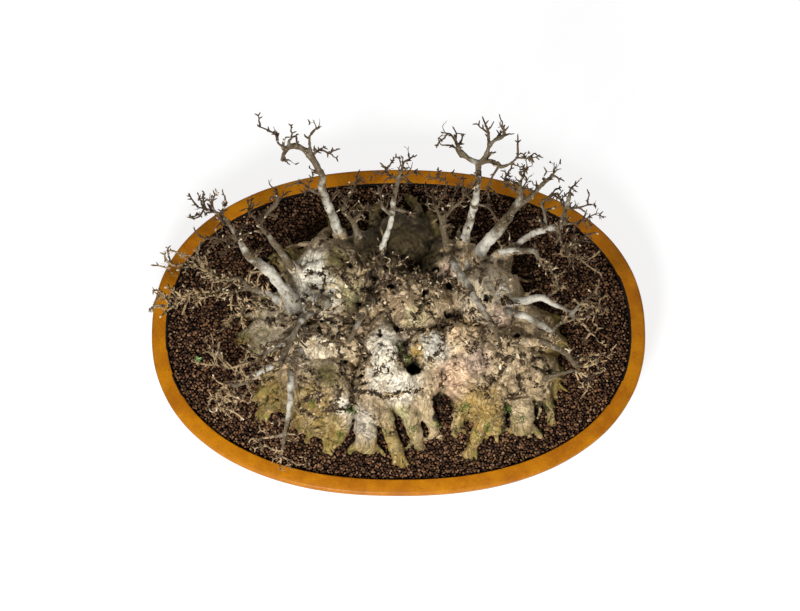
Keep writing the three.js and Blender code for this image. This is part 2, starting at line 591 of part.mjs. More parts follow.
function buildPot() {
  const wallFoot = HALF_LENGTH - INSET.wallFoot;
  const wallTop = HALF_LENGTH - INSET.wallTop;
  const innerFoot = HALF_LENGTH - INSET.innerFoot;
  const footInner = HALF_LENGTH - INSET.footInner;
  const lipBottom = RIM_HEIGHT - RIM_LIP;
  const profile = [
    [0, FOOT_HEIGHT], [footInner - 2, FOOT_HEIGHT], [footInner, 0], [innerFoot, 0],
    [wallFoot, FOOT_HEIGHT + 4], [wallTop, lipBottom - 4], [HALF_LENGTH - 1, lipBottom],
    [HALF_LENGTH, lipBottom + 1.5], [HALF_LENGTH, RIM_HEIGHT - 3], [HALF_LENGTH - 1, RIM_HEIGHT - 1],
    [HALF_LENGTH - 3.5, RIM_HEIGHT], [RIM_INNER + 3, RIM_HEIGHT], [RIM_INNER + 0.8, RIM_HEIGHT - 0.8],
    [RIM_INNER, RIM_HEIGHT - 3], [RIM_INNER, RIM_HEIGHT - 8], [innerFoot, FLOOR_TOP + 4],
    [innerFoot - 8, FLOOR_TOP], [0, FLOOR_TOP],
  ];
  let pot = ovalSolid(profile);
  const gapTop = FOOT_HEIGHT - 0.4;
  const { halfLength, halfDepth } = FOOT_GAP;
  pot = pot.subtract(box(-halfLength, halfLength, -HALF_DEPTH, HALF_DEPTH, -1, gapTop));
  pot = pot.subtract(box(-HALF_LENGTH, HALF_LENGTH, -halfDepth, halfDepth, -1, gapTop));
  for (const x of [-DRAIN_SPACING / 2, DRAIN_SPACING / 2]) {
    pot = pot.subtract(uprightCylinder(x, 0, 0, FLOOR_TOP + 1, DRAIN_RADIUS, DRAIN_RADIUS, 20));
  }
  return pot;
}

// A block whose top is drawn by a height formula, on a grid that is jittered so that no rows show
function reliefBlock(x0, x1, y0, y1, bottom, pitch, shift, height) {
  const columns = Math.round((x1 - x0) / pitch);
  const rows = Math.round((y1 - y0) / pitch);
  const geometry = new THREE.BoxGeometry(x1 - x0, y1 - y0, 1, columns, rows, 1);
  geometry.translate((x0 + x1) / 2, (y0 + y1) / 2, 0);
  return solidFrom(moveVertices(geometry, (point) => {
    if (point.z < 0) {
      point.z = bottom;
      return;
    }
    const chance = makeRandom(1 + Math.round(point.x * 31) ** 2 + Math.round(point.y * 57) ** 2);
    chance();
    const grain = chance();
    point.x += shift * (chance() - 0.5);
    point.y += shift * (chance() - 0.5);
    point.z = height(point.x, point.y, grain);
  }));
}

function groundBlock(bottom, lift, relief, pitch) {
  const height = (x, y, grain) => soilHeight(x, y) + lift - relief * grain;
  const shift = relief > 0 ? pitch / 2 : 0;
  return reliefBlock(
    -HALF_LENGTH, HALF_LENGTH, -HALF_DEPTH, HALF_DEPTH, bottom, pitch, shift, height,
  );
}

function buildSoil() {
  const side = HALF_LENGTH - INSET.innerFoot - CLEARANCE;
  const body = ovalSolid([
    [0, FLOOR_TOP + CLEARANCE], [side - 8, FLOOR_TOP + CLEARANCE], [side, FLOOR_TOP + 4.2],
    [RIM_INNER - CLEARANCE, RIM_HEIGHT - 8], [RIM_INNER - CLEARANCE, RIM_HEIGHT + 20],
    [0, RIM_HEIGHT + 20],
  ]);
  let soil = groundBlock(FLOOR_TOP - 5, 0, GRAIN_RELIEF, GRAIN_PITCH).intersect(body);
  soil = soil.subtract(rootBall(CLEARANCE));
  for (const x of [-DRAIN_SPACING / 2, DRAIN_SPACING / 2]) {
    const half = SCREEN.size / 2 + CLEARANCE;
    const screenTop = FLOOR_TOP + 2 * CLEARANCE + SCREEN.thickness;
    const wireTop = screenTop + 2 * STAPLE.radius + 2 * CLEARANCE;
    const legs = STAPLE.span / 2 + 2 * STAPLE.radius;
    const wireY = SCREEN.pitch / 2;
    const wireRoom = STAPLE.radius + 2 * CLEARANCE;
    soil = soil.subtract(box(x - half, x + half, -half, half, FLOOR_TOP - 1, screenTop));
    soil = soil.subtract(
      box(x - legs, x + legs, wireY - wireRoom, wireY + wireRoom, FLOOR_TOP - 1, wireTop),
    );
  }
  const hole = SEEDLING.stemRadius + CLEARANCE;
  const foot = soilHeight(SEEDLING.x, SEEDLING.y) - SEEDLING.depth;
  return soil.subtract(uprightCylinder(SEEDLING.x, SEEDLING.y, foot, RIM_HEIGHT, hole, hole, 8));
}

// The fibrous ball of fine roots, hidden in the soil under the root mass
function rootBall(margin) {
  const { x, y, halfLength, halfDepth, bottom, top } = ROOT_BALL;
  const end = margin > 0 ? RIM_HEIGHT + 30 : top;
  return uprightCylinder(x, y, bottom - margin, end, halfLength + margin, halfDepth + margin, 28);
}

// A cylinder bent along a route of [x, y, z, radius] points, with a ring at each point
function taperedTube(route, sides) {
  const rings = route.length - 1;
  const centres = route.map(([x, y, z]) => new THREE.Vector3(x, y, z));
  const frames = [];
  let normal = new THREE.Vector3(0.31, 0.42, 0.85);
  for (let i = 0; i <= rings; i += 1) {
    const before = centres[Math.max(i - 1, 0)];
    const after = centres[Math.min(i + 1, rings)];
    const tangent = after.clone().sub(before).normalize();
    normal = normal.clone().addScaledVector(tangent, -normal.dot(tangent)).normalize();
    frames.push({ normal, side: new THREE.Vector3().crossVectors(normal, tangent) });
  }
  const pointed = route[rings][3] === 0;
  const geometry = new THREE.CylinderGeometry(pointed ? 0 : 1, 1, 1, sides, rings);
  moveVertices(geometry, (point) => {
    const ring = Math.round((0.5 + point.y) * rings);
    const radius = route[ring][3] / Math.max(Math.hypot(point.x, point.z), 1e-3);
    const { x, z } = point;
    point.copy(centres[ring]);
    point.addScaledVector(frames[ring].normal, x * radius);
    point.addScaledVector(frames[ring].side, z * radius);
  });
  return solidFrom(geometry);
}

// Height of one lump: a dome with flutes down its sides, and a steep skirt outside it
function domeHeight({ at, half }, x, y) {
  const dx = (x - at[0]) / half[0];
  const dy = (y - at[1]) / half[1];
  const around = Math.atan2(dy, dx);
  const phase = at[0] * 0.13 + at[1] * 0.07;
  const flutes = Math.sin(5 * around + phase) + 0.7 * Math.sin(9 * around - 2 * phase);
  const reach = Math.hypot(dx, dy) * (1 + 0.05 * flutes);
  if (reach < LUMP_EDGE) {
    return at[2] + half[2] * Math.sqrt(1 - reach ** 2);
  }
  const edge = Math.sqrt(1 - LUMP_EDGE ** 2);
  return at[2] + half[2] * (edge - 3 * (reach - LUMP_EDGE));
}

// Height of the root mass, where the lumps run into one another
function massHeight(x, y) {
  let sum = 0;
  for (const lump of LUMPS) {
    sum += Math.exp(domeHeight(lump, x, y) / LUMP_BLEND);
  }
  return Math.max(LUMP_BLEND * Math.log(sum), MASS.bottom + 1);
}

function hollowSolid({ at, half }) {
  const geometry = new THREE.IcosahedronGeometry(1, 1);
  geometry.scale(...half);
  geometry.translate(...at);
  return solidFrom(geometry);
}

// Thicker limbs get more sides
function sidesFor(radius) {
  if (radius > 6) {
    return 5;
  }
  return radius > 3.4 ? 4 : 3;
}

function pointAlong(route, share) {
  const place = share * (route.length - 1);
  const index = Math.min(Math.floor(place), route.length - 2);
  const blend = place - index;
  const point = route[index].map((value, k) => value + blend * (route[index + 1][k] - value));
  const heading = new THREE.Vector3(
    route[index + 1][0] - route[index][0],
    route[index + 1][1] - route[index][1],
    route[index + 1][2] - route[index][2],
  ).normalize();
  return { point, heading };
}

function keepInside(point) {
  return [
    THREE.MathUtils.clamp(point[0], -LOOSEST_TWIG.x, LOOSEST_TWIG.x),
    THREE.MathUtils.clamp(point[1], -LOOSEST_TWIG.y, LOOSEST_TWIG.y),
    point[2],
    point[3],
  ];
}

// One short shoot: it leaves its limb sideways and turns up to the light
function growShoot(start, heading, turn, length, random) {
  const across = new THREE.Vector3().crossVectors(heading, new THREE.Vector3(0, 0, 1));
  if (across.length() < 0.3) {
    across.set(1, 0, 0);
  }
  across.normalize().applyAxisAngle(heading, turn);
  const stray = new THREE.Vector3(random() - 0.5, random() - 0.5, random() - 0.1);
  const aim = heading.clone().multiplyScalar(0.5).add(across).addScaledVector(stray, 0.6).normalize();
  const tip = new THREE.Vector3(...start).addScaledVector(aim, length);
  const radius = Math.min(SHOOT.girth * start[3], SHOOT.thickest);
  return [start.slice(0, 3).concat(radius), keepInside([tip.x, tip.y, tip.z, 0])];
}

// The seeded rule that sets side shoots along a limb, turned about a third of a circle
// from one to the next, with a small fork on every longer one
function shootsOf(limb, index) {
  const random = makeRandom(7919 + 104729 * index);
  const routes = [];
  let turn = 2 * Math.PI * random();
  for (let i = 0; i < limb.shoots; i += 1) {
    const share = SHOOT.first + (SHOOT.spread * (i + random())) / limb.shoots;
    const { point, heading } = pointAlong(limb.route, share);
    turn += SHOOT.turn;
    const length = SHOOT.shortest + SHOOT.stretch * random();
    const shoot = growShoot(point, heading, turn, length, random);
    routes.push(shoot);
    if (length > FORK.from) {
      const fork = pointAlong(shoot, 0.5);
      const forkLength = FORK.share * length;
      routes.push(growShoot(fork.point, fork.heading, turn + FORK.turn, forkLength, random));
    }
  }
  return routes;
}

function largestPart(solid) {
  const parts = solid.decompose();
  return parts.reduce((best, part) => (part.volume() > best.volume() ? part : best));
}

function buildTree() {
  const { x0, x1, y0, y1, bottom, pitch } = MASS;
  const solids = [reliefBlock(x0, x1, y0, y1, bottom, pitch, pitch / 2, massHeight), rootBall(0)];
  for (const root of ROOTS) {
    solids.push(taperedTube(root.route, root.route[0][3] > 10 ? 5 : 4));
  }
  LIMBS.forEach((limb, index) => {
    solids.push(taperedTube(limb.route, sidesFor(limb.route[0][3])));
    for (const shoot of shootsOf(limb, index)) {
      solids.push(taperedTube(shoot, 3));
    }
  });
  let tree = wasm.Manifold.union(solids);
  for (const hollow of HOLLOWS) {
    tree = tree.subtract(hollowSolid(hollow));
  }
  const ground = groundBlock(FLOOR_TOP, 3 * CLEARANCE, 0, 3 * GRAIN_PITCH);
  return largestPart(tree.subtract(ground.subtract(rootBall(0))));
}

// A square of plastic mesh that keeps the soil from falling through a drain hole
function buildScreen() {
  const half = SCREEN.size / 2;
  let screen = box(-half, half, -half, half, 0, SCREEN.thickness);
  const firstGap = -((SCREEN.gaps - 1) / 2) * SCREEN.pitch;
  for (let column = 0; column < SCREEN.gaps; column += 1) {
    for (let row = 0; row < SCREEN.gaps; row += 1) {
      const x = firstGap + column * SCREEN.pitch;
      const y = firstGap + row * SCREEN.pitch;
      const gap = SCREEN.gap / 2;
      screen = screen.subtract(box(x - gap, x + gap, y - gap, y + gap, -1, SCREEN.thickness + 1));
    }
  }
  return screen;
}

// The wire that pins a screen: over it, down through the drain hole and out along the underside
function buildStaple() {
  const { radius, span, bend } = STAPLE;
  const leg = span / 2;
  const top = FLOOR_TOP + 2 * CLEARANCE + SCREEN.thickness + radius;
  const foot = FOOT_HEIGHT - CLEARANCE - radius;
  const half = [
    [0, top], [leg - bend, top], [leg, top - bend], [leg, foot + bend], [leg + bend, foot],
    [STAPLE_FOOT, foot],
  ];
  const other = half.slice(1).reverse().map(([x, z]) => [-x, z]);
  const route = other.concat(half).map(([x, z]) => [x, SCREEN.pitch / 2, z, radius]);
  return taperedTube(route, 6);
}

function buildSeedling() {
  const ground = soilHeight(SEEDLING.x, SEEDLING.y);
  const crown = ground + SEEDLING.height;
  const { x, y, stemRadius } = SEEDLING;
  const stem = [[x, y, ground - SEEDLING.depth + CLEARANCE, stemRadius], [x, y, crown, stemRadius]];
  let seedling = taperedTube(stem, 6);
  for (let i = 0; i < SEEDLING.leaves; i += 1) {
    const leaf = new THREE.OctahedronGeometry(1, 1);
    const level = i % 2;
    leaf.scale(LEAF.halfLength, LEAF.halfWidth, LEAF.halfThickness);
    leaf.translate(LEAF.halfLength - 0.4, 0, 0);
    leaf.rotateY(-LEAF.rise - 0.12 * level);
    leaf.rotateZ((i * 2 * Math.PI) / SEEDLING.leaves + LEAF.turn);
    leaf.translate(x, y, crown - 0.8 + 0.5 * level);
    seedling = seedling.add(solidFrom(leaf));
  }
  return seedling;
}

function piece(name, solid, color, roughness, metalness = 0) {
  const material = new THREE.MeshStandardMaterial({ color, roughness, metalness });
  const mesh = new THREE.Mesh(geometryFrom(solid), material);
  mesh.name = name;
  return mesh;
}

const bonsai = new THREE.Group();
bonsai.add(piece('pot', buildPot(), 0xa86c20, 0.25));
bonsai.add(piece('soil', buildSoil(), 0x33241c, 0.95));
bonsai.add(piece('tree', buildTree(), 0x9c8e78, 0.8));
bonsai.add(piece('seedling', buildSeedling(), 0x6fae2c, 0.5));
for (const [side, x] of [['left', -DRAIN_SPACING / 2], ['right', DRAIN_SPACING / 2]]) {
  const screen = piece(`drain_screen_${side}`, buildScreen(), 0x1d1f1c, 0.6);
  screen.position.set(x, 0, FLOOR_TOP + CLEARANCE);
  bonsai.add(screen);
  const staple = piece(`screen_wire_${side}`, buildStaple(), 0x8f8a84, 0.35, 1);
  staple.position.set(x, 0, 0);
  bonsai.add(staple);
}

export default bonsai;
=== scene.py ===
import math
import random

import bmesh
import bpy
from bpy.props import FloatProperty, FloatVectorProperty, IntProperty, PointerProperty
from mathutils import Euler, Matrix, Vector, kdtree, noise
from mathutils.bvhtree import BVHTree


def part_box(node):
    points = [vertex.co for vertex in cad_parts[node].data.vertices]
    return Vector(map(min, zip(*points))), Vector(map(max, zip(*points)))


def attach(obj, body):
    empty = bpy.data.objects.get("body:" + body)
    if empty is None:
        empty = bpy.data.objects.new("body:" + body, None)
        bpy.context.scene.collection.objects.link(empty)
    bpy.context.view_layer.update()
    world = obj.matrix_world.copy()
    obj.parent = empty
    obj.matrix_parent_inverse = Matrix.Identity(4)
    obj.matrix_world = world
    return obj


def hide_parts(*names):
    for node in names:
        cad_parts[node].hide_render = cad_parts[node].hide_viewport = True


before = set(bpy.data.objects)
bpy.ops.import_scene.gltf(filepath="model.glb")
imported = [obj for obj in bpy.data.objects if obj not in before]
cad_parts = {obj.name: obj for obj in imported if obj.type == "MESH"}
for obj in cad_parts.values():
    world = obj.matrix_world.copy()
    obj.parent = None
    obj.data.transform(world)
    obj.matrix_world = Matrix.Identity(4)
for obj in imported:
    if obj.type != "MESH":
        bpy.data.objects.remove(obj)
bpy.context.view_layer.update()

bl_info = {
    "name": "Trident Maple Bonsai",
    "version": (1, 0, 0),
    "blender": (4, 5, 0),
    "location": "3D View > Sidebar > Bonsai",
    "description": "Grows the wood, twigs, soil, pot and studio of a potted trident maple",
    "category": "Object",
}

METRE = 1
MM = 0.001 * METRE
BODY = "root"

# A full turn in radians, near enough where turns are random
FULL_TURN = 6.28

# Edges sharper than this many degrees stay sharp
POT_EDGES = 35
CRUMB_EDGES = 50
TWIG_EDGES = 60

# The pot's sizes in millimetres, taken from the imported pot
POT_TOP = Vector(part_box("pot")[1]) / MM
HALF_LENGTH = POT_TOP.x
HALF_DEPTH = POT_TOP.y
RIM_HEIGHT = POT_TOP.z
OVAL_POWER = 2.25
RIM_WIDTH = 19
RIM_LIP = 12
FOOT_HEIGHT = 11
FLOOR_TOP = 20
CORE_RADIUS = 180
FOOT_GAP = (175, 70)
DRAIN_RADIUS = 15
DRAIN_SPACING = 240

# The soil's surface: its height at the wall, its mound in the middle and its groove at the wall
SOIL_EDGE = RIM_HEIGHT - 18
SOIL_MOUND = 13
SOIL_GROOVE = 8
GROOVE_START = 0.93

# The grains are heaped against the wall, between these shares of the way to it, and end at its edge
HEAP_FOOT = RIM_HEIGHT - 14.5
HEAP_RISE = 8
HEAP_START = 0.88
HEAP_END = 0.98
GRAIN_EDGE = 0.997

# A grain's radius, the distance between rows of grains and how far a grain strays, all as shares of
# the grains' distance
GRAIN_SIZE = 0.47
ROW_SPACING = 0.866
GRAIN_STRAY = 0.3

# Nothing of the tree reaches further than this from the middle of the pot
TWIG_MARGIN = 6
TREE_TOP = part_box("tree")[1][2] / MM - 0.4
LOOSEST_TWIG = Vector((
    HALF_LENGTH - TWIG_MARGIN, HALF_DEPTH - TWIG_MARGIN, TREE_TOP - 2.5,
))

# The camera stands in front of the pot and looks steeply down on it
VIEW_TARGET = Vector((1.8, 28, 78)) * MM
VIEW_DISTANCE = 2.2
VIEW_ELEVATION = 74
PHOTO_WIDTH = 800
FOCAL_PIXELS = 1805
SENSOR_WIDTH = 36

# The block that the root mass is carved from, the height that its skin is cut at, inside the soil,
# and the ball of fine roots under it
MASS = {"x0": -190, "x1": 208, "y0": -128, "y1": 152, "bottom": 50, "pitch": 2}
CUT_HEIGHT = 57
ROOT_BALL = {"x": 0, "y": -5, "half_length": 105, "half_depth": 60, "bottom": 44, "top": 62}

# A lump is a fluted dome out to this share of its half sizes, and a straight skirt beyond it.
# A higher blend lets the lumps run together more softly.
FLUTE_DEPTH = 0.05
SKIRT_START = 0.92
SKIRT_TOP = 0.392
SKIRT_FALL = 3
LUMP_BLEND = 4.5

# The relief of the root mass, in millimetres: the seams between lumps, soft swellings, knobs and
# furrows with the distance that each repeats at, and how far the creases waver
SEAM_DEPTH = 6
SEAM_WIDTH = 9
SWELLING = 3.2
SWELLING_SPACING = 23
KNOBBINESS = 2.4
KNOB_SPACING = 10
FURROW_DEPTH = 2.2
FURROW_SPACING = 16
FURROW_SHARE = 0.25
CREASE_STEP = 1.5
CREASE_WAVER = 1.4
WAVER_SPACING = 5

# The relief of its bark and of the limbs' bark, in millimetres, how far the rings reach and the place
# that the low roots run out from
STREAK_RELIEF = 1.3
FIBRE_RELIEF = 0.8
FINE_RELIEF = 0.2
PLATE_RELIEF = 0.7
RING_RELIEF = 0.6
RING_REACH = 26
FLOW_CENTRE = (8, 10)
LIMB_RINGS = 0.8
LIMB_RIDGES = 0.3
LIMB_SWELLINGS = 0.7

# From where to where the edge of a hollow or a pit falls, and where it is darkened as painted shade, as
# shares of its size
HOLLOW_EDGE = (0.7, 1.2)
HOLLOW_SHADE = (0.8, 1.15)
PIT_EDGE = (0.7, 1.5)
PIT_SHADE = (0.9, 1.5)

# Crumbs and twigs keep off places deeper in a hollow than this, and soil shows through a crease
# that is deeper than this many millimetres
PIT_LIMIT = 0.3
OPEN_CREASE = 10

# Grains lie this far out in an open hollow, as a share of its size, and this near an open crease
HOLLOW_OPENING = 1.3
CREASE_OPENING = 8

# How many rounds of easing show what lies a little and what lies far below its surroundings, which the bark
# finishes darken as painted shade
SUNK_ROUNDS = 6
LIMB_SUNK_ROUNDS = 5
DEEP_ROUNDS = 40

# How knotty roots, limbs and the feet of limbs are, and the least radius of a limb with a foot
ROOT_GNARL = 0.14
LIMB_GNARL = 0.13
FOOT_GNARL = 0.1
THICK_FOOT = 6.5

# Toes and rootlets: the sides that a root's toes turn to, and what share of the girth stays at each
# bend
TOE_SIDES = (-1, -0.4, 0.3, 1)
TOE_TAPER = 0.74
ROOTLET_TAPER = 0.84

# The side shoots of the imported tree: where on a limb they start, how they follow one another,
# how long and thick they are, and how long a shoot is that forks
SHOOTS_START = 0.42
SHOOTS_SPAN = 0.55
SHOOT_TURN = 2.4
SHOOT_LENGTH = 11
SHOOT_VARIETY = 12
SHOOT_GIRTH = 0.62
THICKEST_SHOOT = 1.6
FORKED_LENGTH = 20.5

# How much a sprig bends and rises at each step, and how often it forks
SPRIG_BEND = 0.62
SPRIG_LIFT = 0.06
SPRIG_FORKS = 0.3

# How often a limb bears a sprig where its radius is more than the first number
SPRIG_SHARES = ((4, 0.1), (2.4, 0.4), (0, 0.75))

# The least radius of a side shoot, the radius at its tip, and how a limb's last end tapers
LEAST_SHOOT = 1.2
SHOOT_TIP = 0.6
END_TAPER = 0.6

# Twigs that end thicker than this were cut, and look it between these distances from the tip
CUT_TIP = 0.7
CUT_EDGE = (0.8, 2)

# The share of a twig's bends that bear buds, and the radius that a bud ends in
SPRIG_BUDS = 0.25
LIMB_END_BUDS = 0.34
SHOOT_BUDS = 0.5
BUD_TIP = 0.35

# The twigs in the creases: how far apart they stand, how far they and the crumbs stray from the
# crease, and how much darker the thickets are
CREASE_TWIG_SPACING = 15
CREASE_STRAY = 1.7
THICKET_DARKNESS = 0.07

# The tints of crumbs in creases end here, and those of chips start here
DARK_TINTS = 0.6
PALE_TINTS = 0.78

SEEDLING = {"x": -243, "y": -38, "height": 7, "depth": 5, "stem": 0.7, "leaves": 4}
LEAF_LENGTH = 5

# What sets the three parts of the soft random vectors apart
DRIFT_SHIFTS = ((9.3, -1.5, -7.9), (5.1, 31.4, 2.7), (-13.8, 8.2, 17.6))

